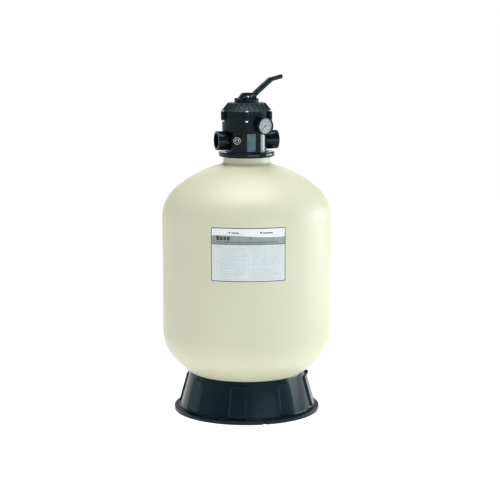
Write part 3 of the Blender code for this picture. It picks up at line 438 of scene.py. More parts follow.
def clear(name, tint, fresnel=1.49, rough=0.02):
    """A clear moulding that lets light through and shines at its edges."""
    made, tree, place = fresh_material(name)
    tree.nodes.remove(tree.nodes["Principled BSDF"])
    bump = wire_up(tree, "ShaderNodeBump", Height=noise(tree, place, 300), Strength=1.0, Distance=0.000004)
    through = wire_up(tree, "ShaderNodeBsdfTransparent", Color=(*tint, 1))
    gloss = wire_up(tree, "ShaderNodeBsdfGlossy", Roughness=rough, Normal=bump.outputs["Normal"])
    facing = wire_up(tree, "ShaderNodeFresnel", IOR=fresnel, Normal=bump.outputs["Normal"])
    mix = tree.nodes.new("ShaderNodeMixShader")
    tree.links.new(facing.outputs["Fac"], mix.inputs[0])
    tree.links.new(through.outputs["BSDF"], mix.inputs[1])
    tree.links.new(gloss.outputs["BSDF"], mix.inputs[2])
    tree.links.new(mix.outputs["Shader"], tree.nodes["Material Output"].inputs["Surface"])
    return made


IVORY = surface("ivory_shell", (0.640, 0.640, 0.475), (0.615, 0.615, 0.448), 3.5, (0.36, 0.46), 30, 420,
    0.00012, Subsurface_Weight=0.06, Subsurface_Scale=0.01, Subsurface_Radius=(1.0, 0.8, 0.5))
BLUE_SHEEN = (0.74, 0.94, 1.0, 1.0)
GLOSS_BLACK = surface("gloss_black", (0.0018, 0.0055, 0.0085), (0.0034, 0.0075, 0.0105), 14, (0.07, 0.12), 60,
    900, 0.000006, level=0.2, edge=0.0009, Specular_Tint=BLUE_SHEEN)
SATIN_BLACK = surface("satin_black", (0.0022, 0.0055, 0.0080), (0.0040, 0.0075, 0.0100), 18, (0.34, 0.46), 70,
    1500, 0.00004, level=0.16, edge=0.0009, Specular_Tint=BLUE_SHEEN)
# The lid's ribbed cone is painted lighter than the rest of the same moulding: a painted sheen.
RIB_BLACK_PAINTED_SHEEN = surface("rib_black_painted_sheen", (0.011, 0.022, 0.023), (0.019, 0.032, 0.032), 18, (0.40, 0.55), 70, 1500,
    0.00004, level=0.25, edge=0.0006, Specular_Tint=BLUE_SHEEN)
BASE_BLACK = surface("base_black", (0.0048, 0.0155, 0.0220), (0.0075, 0.0190, 0.0255), 9, (0.14, 0.23), 25, 700,
    0.000015, level=0.18, edge=0.0012, Specular_Tint=BLUE_SHEEN)
# The handle's grip panel is painted lighter than the handle's gloss black: painted light from above on its top.
GRIP_PAINTED_LIGHT = surface("grip_black_painted_light", (0.050, 0.062, 0.060), (0.064, 0.076, 0.072), 30, (0.42, 0.55), 70, 1500, 0.00004,
    level=0.3, edge=0.0005)
GREY = surface("grey_pipe", (0.20, 0.21, 0.22), (0.24, 0.25, 0.26), 25, (0.38, 0.5), 60, 1200, 0.00003)
WHITE = surface("white_acetal", (0.76, 0.76, 0.73), (0.72, 0.71, 0.66), 20, (0.3, 0.42), 60, 900, 0.00002)
RUBBER = surface("rubber_seal", (0.014, 0.014, 0.014), (0.026, 0.025, 0.024), 80, (0.6, 0.8), 200, 2500,
    0.00006)
STEEL = surface("stainless_steel", (0.66, 0.66, 0.65), (0.54, 0.54, 0.53), 120, (0.16, 0.34), 900, 2600,
    0.00002, (1, 1, 0.08), metallic=1.0, edge=0.0004)
BRASS = surface("brass", (0.74, 0.54, 0.24), (0.62, 0.43, 0.18), 90, (0.2, 0.36), 500, 2200, 0.00002,
    metallic=1.0, edge=0.0004)
SAND = surface("silica_sand", (0.62, 0.52, 0.36), (0.36, 0.28, 0.18), 900, (0.8, 0.95), 700, 1300, 0.0009)
DIAL = surface("dial_white", (0.86, 0.90, 0.89), (0.80, 0.84, 0.83), 60, (0.4, 0.5), 200, 2500, 0.00001)
INK = surface("dial_ink", (0.012, 0.012, 0.012), (0.022, 0.022, 0.022), 200, (0.4, 0.5), 300, 2500, 0.00001)
NEEDLE = surface("needle_black", (0.010, 0.010, 0.010), (0.02, 0.02, 0.02), 200, (0.3, 0.4), 300, 2500, 0.00001)
LENS = clear("clear_lens", (0.97, 0.98, 0.98))
# The sight glass is tinted dark: painted shade for the dark seen through it.
SIGHT_CLEAR_PAINTED_SHADE = clear("sight_clear_painted_shade", (0.30, 0.33, 0.34), fresnel=1.42, rough=0.10)
# Light grey rings on the sight glass's face: painted highlights on its raised rings.
SIGHT_RINGS_PAINTED_HIGHLIGHT = surface("sight_rings_painted_highlight", (0.24, 0.27, 0.27), (0.30, 0.33, 0.33), 90, (0.25, 0.35), 200, 900,
    0.00001)
FILM_GRAIN = (60, 900, 0.00001)
FILM = surface("label_white", (0.66, 0.705, 0.715), (0.61, 0.655, 0.665), 25, (0.25, 0.35), *FILM_GRAIN)
HEADER = surface("label_header", (0.80, 0.84, 0.84), (0.76, 0.80, 0.80), 25, (0.25, 0.35), *FILM_GRAIN)
BAND_GREY = surface("label_band", (0.235, 0.270, 0.262), (0.290, 0.325, 0.315), 25, (0.25, 0.35), *FILM_GRAIN)
PRINT_DARK = surface("label_ink", (0.030, 0.032, 0.027), (0.050, 0.052, 0.045), 60, (0.3, 0.4), *FILM_GRAIN)
PRINT_GREY = surface("label_grey_ink", (0.46, 0.50, 0.51), (0.52, 0.56, 0.57), 120, (0.3, 0.4), *FILM_GRAIN)


# ---------------------------------------------------------------- tank
class Head:
    """A dished tank head: a knuckle that leaves the cylinder, and a spherical crown over the axis."""

    def __init__(self, tangent_z, knuckle, crown, side):
        self.side, self.knuckle, self.crown = side, knuckle, crown
        self.knuckle_centre = (TANK_RADIUS - knuckle, tangent_z)
        rise = math.sqrt((crown - knuckle) ** 2 - self.knuckle_centre[0] ** 2)
        self.crown_z = tangent_z - side * rise
        self.meet = math.atan2(rise, self.knuckle_centre[0])

    def z(self, radius, inset=0.0):
        return self.crown_z + self.side * math.sqrt((self.crown - inset) ** 2 - radius ** 2)

    def knuckle_arc(self, inset=0.0, count=22):
        return arc(self.knuckle_centre, self.knuckle - inset, 0, self.side * self.meet, count)

    def crown_arc(self, end_radius, inset=0.0, count=16):
        size = self.crown - inset
        end = math.acos(end_radius / size)
        points = arc((0, self.crown_z), size, self.side * self.meet, self.side * end, count)
        return points[:-1] + [(end_radius, points[-1][1])]


TOP_HEAD = Head(TOP_TANGENT_Z, TOP_KNUCKLE, TOP_CROWN, 1)
LOW_HEAD = Head(LOW_TANGENT_Z, LOW_KNUCKLE, LOW_CROWN, -1)


def tank_shell():
    x = NECK_RADIUS + NECK_FILLET
    z = TOP_HEAD.crown_z + math.sqrt((TOP_CROWN + NECK_FILLET) ** 2 - x ** 2)
    meet = math.atan2(TOP_HEAD.crown_z - z, -x)
    fillet = arc((x, z), NECK_FILLET, math.pi, meet + math.tau, 12)
    under, groove_z = JOINT_Z - FLANGE_THICK, JOINT_Z - NECK_GROOVE_DEEP
    mouth = softened([(NECK_BORE, JOINT_Z - 0.002, 0), (NECK_BORE, JOINT_Z), (NECK_GROOVE[0], JOINT_Z),
        (NECK_GROOVE[0], groove_z), (NECK_GROOVE[1], groove_z), (NECK_GROOVE[1], JOINT_Z),
        (FLANGE_RADIUS, JOINT_Z), (FLANGE_RADIUS, under + 0.001), (NECK_RADIUS, under - 0.0015, 0.002),
        fillet[0]], 0.0005, closed=False)
    outside = fillet[1:] + TOP_HEAD.crown_arc(fillet[-1][0])[-2::-1] + TOP_HEAD.knuckle_arc()[-2::-1]
    outside += [(TANK_RADIUS, LOW_TANGENT_Z + (TOP_TANGENT_Z - LOW_TANGENT_Z) * i / 16)
        for i in range(15, 0, -1)]
    outside += LOW_HEAD.knuckle_arc() + LOW_HEAD.crown_arc(0.0)[1:]
    inside = LOW_HEAD.crown_arc(0.0, TANK_WALL)[:0:-1] + LOW_HEAD.knuckle_arc(TANK_WALL)[::-1]
    inside += TOP_HEAD.knuckle_arc(TANK_WALL) + TOP_HEAD.crown_arc(NECK_BORE, TANK_WALL)[1:]
    shell = lathe(mouth + outside + inside, 192)
    hole = disc(DRAIN_RADIUS + GAP, -0.08, 0.03, 48, DRAIN)
    piece("tank_shell", carved(shell, cuts=[hole]), IVORY)


# ---------------------------------------------------------------- label
LABEL_LOW, LABEL_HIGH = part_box("data_label")
LABEL_LEFT = math.degrees(math.asin(LABEL_LOW.x / TANK_RADIUS))
LABEL_RIGHT = math.degrees(math.asin(LABEL_HIGH.x / TANK_RADIUS))
LABEL_WIDTH = math.radians(LABEL_RIGHT - LABEL_LEFT) * TANK_RADIUS
LABEL_HEIGHT = LABEL_HIGH.z - LABEL_LOW.z
FILM_THICK = 0.00025
INK_STEP = 0.00004
LABEL_PAINTS = [FILM, PRINT_DARK, HEADER, BAND_GREY, PRINT_GREY]
WHITE_FILM, DARK, HEAD_WHITE, BAND, PALE = range(5)


def patch(bm, left, right, low, top, layer, paint):
    """A thin closed slab of film or ink on the tank. Left, right, low and top are in metres from the
    label's lower left corner, and low and top may be functions of the distance across."""
    low_at = low if callable(low) else lambda u: low
    top_at = top if callable(top) else lambda u: top
    count = max(2, math.ceil((right - left) / 0.0035))
    base = TANK_RADIUS + GAP / 2
    outer = base + FILM_THICK + INK_STEP * layer
    inner = base + FILM_THICK - INK_STEP if layer else base
    rows = []
    for i in range(count + 1):
        share = 0.5 - 0.5 * math.cos(math.pi * i / count) if callable(low) else i / count
        u = left + (right - left) * share
        azimuth = LABEL_LEFT + math.degrees(u / TANK_RADIUS)
        foot, head = LABEL_LOW.z + low_at(u), LABEL_LOW.z + top_at(u)
        corners = (inner, foot), (outer, foot), (outer, head), (inner, head)
        rows.append([bm.verts.new(polar(r, azimuth, z)) for r, z in corners])
    before = len(bm.faces)
    skin(bm, rows, capped=True)
    bm.faces.ensure_lookup_table()
    for face in bm.faces[before:]:
        face.material_index = paint


def rounded_patch(bm, left, right, low, top, radius, layer, paint):
    def inset(u):
        reach = max(0.0, radius - min(u - left, right - u))
        return radius - math.sqrt(max(0.0, radius ** 2 - reach ** 2))
    patch(bm, left, right, lambda u: low + inset(u), lambda u: top - inset(u), layer, paint)


def lines(bm, left, low, top, lengths, thick, layer, paint):
    """Rows of greeked lettering: bars of several lengths, one under another."""
    pitch = (top - low) / max(1, len(lengths) - 1)
    for i, spans in enumerate(lengths):
        middle = top - pitch * i
        for start, end in spans:
            patch(bm, left + start, left + end, middle - thick / 2, middle + thick / 2, layer, paint)


def words(start, end, seed):
    """A line of greeked words between two places, of uneven lengths."""
    spans, at, k = [], start, seed
    while at < end - 0.004:
        size = 0.004 + 0.0017 * ((k * 7 + seed * 3) % 6)
        spans.append((at, min(end, at + size)))
        at += size + 0.0016
        k += 1
    return spans


def tank_label():
    w, h = LABEL_WIDTH, LABEL_HEIGHT
    edge, line = 0.0007, 0.0026
    bm = bmesh.new()
    rounded_patch(bm, 0, w, 0, h, 0.006, 0, WHITE_FILM)
    rounded_patch(bm, edge, w - edge, edge, h - edge, 0.0054, 1, DARK)
    inside = edge + line
    rounded_patch(bm, inside, w - inside, inside, h - inside, 0.0038, 2, WHITE_FILM)
    rule_top, band_top = h * 0.7, h * 0.845
    rounded_patch(bm, inside, w - inside, band_top - 0.016, h - inside, 0.0036, 3, HEAD_WHITE)

    def swoosh(u):
        return band_top + 0.003 * math.sin(math.pi * (u / w) * 1.6 + 0.5) - 0.001
    patch(bm, inside, w - inside, lambda u: rule_top, swoosh, 4, BAND)
    patch(bm, inside, w - inside, rule_top - 0.0024, rule_top, 4, DARK)
    for left, wide in ((0.068, 0.026), (0.17, 0.034)):
        rounded_patch(bm, left - 0.0085, left - 0.0015, h * 0.89, h * 0.89 + 0.007, 0.0035, 4, DARK)
        patch(bm, left + 0.001, left + wide, h * 0.893, h * 0.893 + 0.0036, 4, DARK)
        patch(bm, left + wide - 0.006, left + wide + 0.012, h * 0.877, h * 0.877 + 0.0012, 4, PALE)
    for start, end, tall in ((0.0, 0.0105, 0.015), (0.0125, 0.022, 0.012), (0.024, 0.0335, 0.012),
            (0.0355, 0.045, 0.012)):
        foot = h * 0.765
        rounded_patch(bm, 0.019 + start, 0.019 + end, foot, foot + tall, 0.002, 5, DARK)
    lines(bm, 0.019, h * 0.733, h * 0.733, [words(0, 0.205, 4)], 0.0024, 5, DARK)
    patch(bm, w * 0.518, w * 0.534, h * 0.8, h * 0.8 + 0.003, 5, DARK)

    rows = []
    for i in range(22):
        start, end = (0.022, 0.1) if i % 5 else (0.0, 0.06)
        rows.append(words(start, end - (0.022 if i % 4 == 3 else 0), i))
    lines(bm, 0.01, h * 0.045, h * 0.655, rows, 0.0016, 3, PALE)
    middle = w * 0.497
    patch(bm, middle, middle + 0.0009, h * 0.1, h * 0.665, 3, PALE)
    table_left, table_right = w * 0.53, w * 0.955
    table_width = table_right - table_left
    for share in (0, 0.34, 0.56, 0.78, 1):
        u = table_left + table_width * share
        patch(bm, u, u + 0.0007, h * 0.3, h * 0.655, 3, PALE)
    for i in range(8):
        z = h * (0.3 + 0.355 * i / 7)
        patch(bm, table_left, table_right + 0.0007, z, z + 0.0007, 4, PALE)
        for k, share in enumerate((0.0, 0.36, 0.58, 0.8) if i < 7 else ()):
            start = table_left + table_width * share + 0.004
            size = 0.01 - 0.0015 * ((i + k) % 3) if k else 0.022 - 0.002 * (i % 3)
            patch(bm, start, start + size, z + 0.0035, z + 0.005, 3, PALE)
    rows = [words(0, 0.098 - 0.012 * (i % 3), i + 3) for i in range(7)]
    lines(bm, table_left, h * 0.055, h * 0.245, rows, 0.0015, 3, PALE)
    piece("data_label", bm, LABEL_PAINTS)


# ---------------------------------------------------------------- base
def base_wall_radius(z):
    share = (z - FOOT_THICK) / (BASE_HEIGHT - FOOT_THICK)
    return BASE_LOW_RADIUS + (BASE_TOP_RADIUS - BASE_LOW_RADIUS) * share


def pilaster_relief(offset, z, radius):
    """How far the wall stands out at an azimuth from a pilaster's middle: a panel with a bead round it."""
    across = math.radians(PILASTER_HALF - abs(offset)) * radius
    inward = min(across, z - PILASTER_LOW_Z, PILASTER_TOP_Z - z)
    corner = 0.006
    sides = sorted((across, min(z - PILASTER_LOW_Z, PILASTER_TOP_Z - z)))
    if sides[1] < corner:
        inward = corner - math.hypot(corner - sides[0], corner - sides[1])
    rise = smooth_step(inward, 0, 0.0034)
    dish = smooth_step(inward, 0.0052, 0.0068)
    return PILASTER_STEP * (rise - 0.17 * dish)


def base_columns():
    """Azimuths round the base with their offset from the nearest pilaster: close at its edges, wide between."""
    fine = [5.4 + 0.2 * i for i in range(14)]
    half = [0, 1.8, 3.6, 4.8] + fine + [8.3, 8.7, 9.5, 11, 13, 15, 17, 19, 20.8]
    offsets = [-a for a in half[:0:-1]] + half + [22.5]
    return [(PILASTER_TURN + 360 / PILASTERS * i + a, a if a < 22 else 22.0) for i in range(PILASTERS)
        for a in offsets]


def base_skirt():
    foot = softened([(FOOT_RADIUS, 0), (FOOT_RADIUS, FOOT_THICK - 0.001, 0.0022),
        (FOOT_RADIUS - 0.004, FOOT_THICK, 0.002), (base_wall_radius(FOOT_THICK) + 0.001, FOOT_THICK, 0.003),
        (base_wall_radius(0.0163), 0.0163, 0)], 0.0008, closed=False)
    ends = [0.0006 * i for i in range(1, 13)]
    heights = [PILASTER_LOW_Z + e for e in ends] + [0.03, 0.04, 0.052, 0.064, 0.076, 0.088, 0.1, 0.108]
    heights += [PILASTER_TOP_Z - e for e in ends[::-1]] + [0.1225, 0.1255]
    wall = [(base_wall_radius(z), z) for z in heights]
    seat_radii = (BASE_TOP_RADIUS - 0.0025, 0.189, 0.181, 0.172, 0.161, SEAT_INNER_RADIUS)
    seat = [(r, LOW_HEAD.z(r, -0.001)) for r in seat_radii]
    lip = softened([wall[-1], (BASE_TOP_RADIUS, BASE_HEIGHT, 0.001),
        (BASE_TOP_RADIUS - 0.0015, BASE_HEIGHT + 0.0045), seat[0]], 0.0008, closed=False)
    under = [(SEAT_INNER_RADIUS, seat[-1][1] - BASE_WALL), (BASE_TOP_RADIUS - 0.0068, BASE_HEIGHT - 0.009),
        (BASE_LOW_RADIUS - BASE_WALL, 0.0)]
    levels = plain(foot) + [(r, z, 1) for r, z in wall] + plain(lip[1:] + seat[1:] + under)
    bm = bmesh.new()
    columns = base_columns()
    rows = []
    for radius, z, panelled in levels:
        row = []
        for azimuth, offset in columns:
            relief = pilaster_relief(offset, z, radius) if panelled else 0
            row.append(bm.verts.new(polar(radius + relief, azimuth, z)))
        rows.append(row)
    skin(bm, rows, wrap_rows=True)
    notches = []
    for i in range(4):
        at = polar(FOOT_RADIUS - 0.002, ANCHOR_AZIMUTH + 90 * i, -0.01)
        notches.append(rod(ANCHOR_RADIUS, at, at + UP * 0.0215, 32))
    wide = DRAIN_CAP_RADIUS + 0.002
    cuts = [together(*notches), disc(wide, -0.035, 0.03, 48, DRAIN),
        block((-wide, 0, -0.0351), (wide, 0.04, 0.0301), DRAIN)]
    piece("base_skirt", carved(bm, cuts=cuts), BASE_BLACK)


# ---------------------------------------------------------------- clamp
def clamp():
    lip_low, lip_top, bore = JOINT_Z - 0.0054, JOINT_Z + 0.0056, FLANGE_RADIUS + 0.0012
    profile = softened([(BAND_RADIUS, BAND_TOP_Z, 0.0022), (BAND_RADIUS, BAND_LOW_Z + 0.0035, 0.0015),
        (BAND_RADIUS - 0.0035, BAND_LOW_Z, 0.0015), (NECK_RADIUS + 0.0012, BAND_LOW_Z),
        (NECK_RADIUS + 0.0012, lip_low - 0.0018), (bore, lip_low), (bore, lip_top - 0.001),
        (LOWER_RADIUS + 0.006, lip_top + 0.0011), (LOWER_RADIUS + 0.006, BAND_TOP_Z)], 0.0007)
    band = lathe(profile, 160)
    ears = [block((left, 0.089, BAND_LOW_Z + 0.001), (left + 0.01, 0.114, BAND_TOP_Z - 0.0006), edge=0.0012)
        for left in (-0.014, 0.004)]
    middle = Vector((0, 0.104, (BAND_LOW_Z + BAND_TOP_Z) / 2))
    split = block((-0.004, 0.05, 0.85), (0.004, 0.12, 0.9))
    hole = rod(0.0036, middle - Vector((0.03, 0, 0)), middle + Vector((0.03, 0, 0)), 32)
    piece("clamp_band", carved(band, [together(*ears)], [split, hole]), GLOSS_BLACK)

    along = Matrix.Translation(middle) @ Matrix.Rotation(math.pi / 2, 4, "Y")
    shank = turned([(0, 0.015), (0.0032, 0.015), (0.0032, -0.028, 0.0008), (0, -0.028)], 0.0002, 32, along)
    head = prism(hexagon(0.0062), 0.0143, 0.0196, along, 0.0005)
    piece("clamp_bolt", carved(shank, [head]), STEEL)
    nut = prism(hexagon(0.0072), -0.0213, -0.0143, along, 0.0005)
    piece("clamp_nut", carved(nut, cuts=[disc(0.0034, -0.03, -0.01, 32, along, 0)]), STEEL)


# ---------------------------------------------------------------- valve body
def lugs_between(low, top, reach):
    """The lugs round the body or lid, each a post with a root into the flange."""
    half = LUG_RADIUS * 0.99
    posts = [disc(LUG_RADIUS, low, top, 40, at, reach) for at in SCREW_PLACES]
    roots = [block((-half, -SCREW_RING, low + 0.0002), (half, -0.078, top - 0.0002), spin(azimuth), reach * 0.8)
        for azimuth in SCREW_AZIMUTHS]
    return [together(*posts), together(*roots)]


def screw_holes():
    return together(*[disc(SCREW_RADIUS + GAP, 0.97, 1.04, 24, at, 0) for at in SCREW_PLACES])


def port(at):
    """A port tube with a stouter socket at its end."""
    step, tube = PORT_REACH - SOCKET_DEPTH, PORT_RADIUS - 0.0014
    return turned([(0, PORT_REACH), (PORT_RADIUS, PORT_REACH, 0.0012), (PORT_RADIUS, step - 0.003, 0.0012),
        (tube, step - 0.0048, 0.001), (tube, 0.027, 0), (0, 0.027)], 0.0008, 72, at)


def port_bore(at):
    step, mouth = PORT_REACH - SOCKET_DEPTH, SOCKET_RADIUS + 0.0012
    return turned([(0, 0.125), (mouth, 0.125, 0), (mouth, PORT_REACH, 0),
        (SOCKET_RADIUS, PORT_REACH - 0.0016, 0), (SOCKET_RADIUS, step), (PORT_BORE, step),
        (PORT_BORE, 0.036, 0), (0, 0.036)], 0.0004, 72, at)


def valve_body():
    flange_top, rim_top = JOINT_Z + GAP, LID_JOINT_Z - GAP
    groove = rim_top - RIM_GROOVE_DEEP
    profile = softened([(RIM_RADIUS, rim_top), (RIM_RADIUS, RIM_LOW_Z), (BOWL_RADIUS, RIM_LOW_Z, 0.0012),
        (BOWL_RADIUS, LEDGE_Z, 0.0045), (LOWER_RADIUS, LEDGE_Z, 0.0012),
        (LOWER_RADIUS, flange_top + 0.0055, 0.002), (FLANGE_RADIUS, flange_top + 0.0035),
        (FLANGE_RADIUS, flange_top), (LOWER_BORE, flange_top), (LOWER_BORE, FLOOR_LOW_Z, 0.002),
        (RISER_RADIUS, FLOOR_LOW_Z, 0.002), (RISER_RADIUS, RISER_LOW_Z), (RISER_BORE, RISER_LOW_Z),
        (RISER_BORE, PIPE_STOP_Z), (THROAT, PIPE_STOP_Z + 0.002), (THROAT, FLOOR_TOP_Z),
        (BOWL_BORE, FLOOR_TOP_Z, 0.002), (BOWL_BORE, rim_top), (RIM_GROOVE[0], rim_top),
        (RIM_GROOVE[0], groove), (RIM_GROOVE[1], groove), (RIM_GROOVE[1], rim_top)], 0.0006)
    body = lathe(divided(profile, 0.006), 144, VALVE)
    joins = [port(at) for at in PORT_PLACES]
    joins.append(disc(SIGHT_BOSS_RADIUS, 0.022, SIGHT_BOSS_END, 48, SIGHT, 0.0006))
    joins += lugs_between(RIM_LOW_Z, rim_top, 0.0007)
    seat = disc(SIGHT_RADIUS + 0.0005, SIGHT_SKIRT - 0.0005, SIGHT_END + 0.01, 56, SIGHT, 0)
    cuts = [screw_holes(), disc(0.0075, 0.012, 0.06, 40, SIGHT, 0),
        disc(GAUGE_THREAD + GAP, 0.07, 0.09, 32, GAUGE, 0)]
    for azimuth, at in zip(PORTS, PORT_PLACES):
        window = VALVE @ polar(WINDOW_RING, azimuth, PORT_Z)
        cuts += [port_bore(at), rod(WINDOW_RADIUS, window, window + UP * 0.045, 40)]
    for azimuth in (-30, 30):
        foot = VALVE @ polar(WINDOW_RING, azimuth, 0.9365)
        cuts.append(rod(WINDOW_RADIUS, foot, foot + UP * 0.03, 40))
    ridge = ring(SIGHT_RADIUS + 0.002, SIGHT_RADIUS + 0.0008, 0.045, 0.0575, 56, SIGHT, 0.0003)
    fine = carved(carved(body, joins, [seat]), [ridge], cuts)
    for face in fine.faces:
        face.material_index = 1 if face.calc_center_median().z > LEDGE_Z - 0.0004 else 0
    piece("valve_body", fine, [GLOSS_BLACK, SATIN_BLACK])


def spider_gasket():
    low, top = FLOOR_TOP_Z + GAP, FLOOR_TOP_Z + 0.0023
    web = ring(0.0715, 0.0665, low, top, 96)
    eye = ring(0.0275, 0.0235, low + 0.0001, top - 0.0001, 64)
    low_corner, top_corner = (-0.0018, -0.0685, low + 0.0002), (0.0018, -0.0255, top - 0.0002)
    spokes = [block(low_corner, top_corner, VALVE @ spin(60 * i), 0.0004) for i in range(6)]
    piece("spider_gasket", carved(web, [eye, together(*spokes)]), RUBBER)


# ---------------------------------------------------------------- lid
def valve_lid():
    """The cone stands in ribs: between them its skin lies deeper."""
    low = LID_JOINT_Z
    shoulder_z, shoulder_r = LID_FLANGE_TOP_Z + 0.0006, RIM_RADIUS - 0.001
    slope = [(LID_TOP_RADIUS - 0.0008, LID_TOP_Z - 0.0004, 0)]
    for i in range(9):
        share = 0.05 + 0.92 * i / 8
        hollow = smooth_step(share, 0.05, 0.2) * smooth_step(-share, -0.97, -0.8)
        slope.append((LID_TOP_RADIUS + (shoulder_r - LID_TOP_RADIUS) * share,
            LID_TOP_Z + (shoulder_z - LID_TOP_Z) * share, hollow))
    top = softened([(COLLAR_RADIUS - 0.0004, LID_TOP_Z + 0.001, 0), (COLLAR_RADIUS, LID_TOP_Z, 0.0012),
        (LID_TOP_RADIUS - 0.004, LID_TOP_Z, 0.0005), slope[0][:2]], 0.0006, closed=False)
    flange = softened([(shoulder_r, shoulder_z, 0), (RIM_RADIUS, LID_FLANGE_TOP_Z), (RIM_RADIUS, low),
        (BOWL_BORE, low), (BOWL_BORE - 0.003, LID_FLANGE_TOP_Z - 0.009),
        (LID_TOP_RADIUS - 0.006, LID_TOP_Z - 0.009, 0.002), (BOSS_RADIUS, LID_TOP_Z - 0.009, 0.002),
        (BOSS_RADIUS, BOSS_LOW_Z), (STEM_BORE, BOSS_LOW_Z), (STEM_BORE, COLLAR_FLOOR_Z),
        (COLLAR_BORE, COLLAR_FLOOR_Z), (COLLAR_BORE, COLLAR_TOP_Z, 0.0008),
        (COLLAR_RADIUS, COLLAR_TOP_Z, 0.0008)], 0.0006, closed=False)
    collar = softened([(COLLAR_BORE, 1.058), (COLLAR_BORE, COLLAR_TOP_Z), (COLLAR_RADIUS, COLLAR_TOP_Z),
        (COLLAR_RADIUS - 0.0004, 1.049)], 0.0008, closed=False)
    levels = plain(top[:-1]) + slope + plain(flange[:-1] + collar[1:])
    lean = Vector((shoulder_z - LID_TOP_Z, LID_TOP_RADIUS - shoulder_r)).normalized()
    pitch = 360 / LID_RIBS
    offsets = [(-0.5, 1), (-0.38, 1), (-0.27, 1), (-0.2, 1), (-0.17, 0.94), (-0.13, 0.1), (-0.1, 0), (0, 0),
        (0.1, 0), (0.13, 0.1), (0.17, 0.94), (0.2, 1), (0.27, 1), (0.38, 1)]
    columns = [(pitch * (i + 0.5 + share), deep) for i in range(LID_RIBS) for share, deep in offsets]
    bm = bmesh.new()
    rows = []
    for radius, z, hollow in levels:
        row = []
        for azimuth, deep in columns:
            sink = lean * RIB_DEPTH * hollow * deep
            row.append(bm.verts.new(polar(radius + sink.x, azimuth, z + sink.y)))
        rows.append(row)
    skin(bm, rows, wrap_rows=True)
    low_corner, top_corner = (-NOTCH_HALF, -0.045, NOTCH_LOW_Z), (NOTCH_HALF, -0.03, 1.065)
    notches = [block(low_corner, top_corner, spin(HANDLE_AZIMUTH + 60 * i)) for i in range(6)]
    fine = carved(bm, lugs_between(low, LID_FLANGE_TOP_Z, 0.0007), [screw_holes(), together(*notches)])
    for face in fine.faces:
        # The cone's faces that don't face down take the lighter paint: a painted sheen on the ribbed cone.
        at = face.calc_center_median()
        on_cone = LID_FLANGE_TOP_Z + 0.0004 < at.z < LID_TOP_Z and LID_TOP_RADIUS - 0.004 < at.xy.length
        face.material_index = 1 if on_cone and face.normal.z > -0.2 else 0
    piece("valve_lid", fine, [SATIN_BLACK, RIB_BLACK_PAINTED_SHEEN])


def lid_fasteners():
    head_low, head_top = LID_FLANGE_TOP_Z + GAP, LID_FLANGE_TOP_Z + 0.0043
    dome = arc((0, head_top - 0.0105), 0.0105, math.radians(90), math.radians(62), 6)
    shank = [(0.0054, head_low + 0.0006), (0.0052, head_low), (SCREW_RADIUS, head_low),
        (SCREW_RADIUS, SCREW_END_Z + 0.0006), (SCREW_RADIUS - 0.0006, SCREW_END_Z), (0, SCREW_END_Z)]
    for i, (azimuth, at) in enumerate(zip(SCREW_AZIMUTHS, SCREW_PLACES)):
        screw = lathe([(0, head_top)] + dome[1:] + shank, 40, at, closed=False)
        turn = at @ spin(azimuth + 17 * i)
        cross = [block((-0.003, -0.0005, head_top - 0.0016), (0.003, 0.0005, head_top + 0.001), turn),
            block((-0.0005, -0.003, head_top - 0.0016), (0.0005, 0.003, head_top + 0.001), turn)]
        piece(f"lid_screw_{i + 1}", carved(screw, cuts=cross), STEEL)
        nut = prism(hexagon(NUT_RADIUS), NUT_LOW_Z, RIM_LOW_Z - GAP, turn, 0.0005)
        piece(f"lid_nut_{i + 1}", carved(nut, cuts=[disc(SCREW_RADIUS + 0.0002, 0.98, 1.0, 32, at, 0)]), STEEL)


# ---------------------------------------------------------------- diverter, seals and spring
def o_ring(node, radius, z, thick, steps):
    piece(node, lathe(arc((radius, z), thick, 0, math.tau * 15 / 16, 15), steps), RUBBER)


def diverter():
    groove, half = 0.0087, 0.0016
    profile = [(0, STEM_TOP_Z, 0), (STEM_RADIUS, STEM_TOP_Z)]
    for z in STEM_RING_Z[::-1]:
        profile += [(STEM_RADIUS, z + half), (groove, z + half), (groove, z - half), (STEM_RADIUS, z - half)]
    profile += [(STEM_RADIUS, 0.985, 0.003), (0.018, 0.983, 0.002), (0.02, DIVERTER_TOP_Z, 0.002),
        (DIVERTER_RADIUS, DIVERTER_TOP_Z - 0.001), (DIVERTER_RADIUS, DIVERTER_LOW_Z), (0, DIVERTER_LOW_Z, 0)]
    key = turned(profile, 0.0003, 96, VALVE)
    outline = [(-TONGUE_HALF_WIDTH, -0.0241), (TONGUE_HALF_WIDTH, -0.0241)]
    outline += arc((0, 0), TONGUE_HALF_WIDTH, 0, math.pi, 20)
    tongue = prism(outline, -TONGUE_HALF_THICK, TONGUE_HALF_THICK, PIN_PLANE, 0.0004)
    pockets = []
    for i, azimuth in enumerate((-90, -60, 30)):
        foot = VALVE @ polar(WINDOW_RING, azimuth, DIVERTER_LOW_Z - 0.01)
        top = DIVERTER_TOP_Z + (0.01 if azimuth == 30 else -0.005)
        pockets.append(rod(WAY_RADIUS - 0.0004 * i, foot, Vector((foot.x, foot.y, top)), 48))
    hole = disc(PIN_RADIUS + PIN_PLAY, -0.01, 0.01, 32, PIN_PLANE, 0)
    piece("diverter", carved(key, [tongue], pockets + [hole]), WHITE)
    for node, z in zip(("stem_o_ring_lower", "stem_o_ring_upper"), STEM_RING_Z):
        o_ring(node, 0.0103, z, 0.00125, 72)


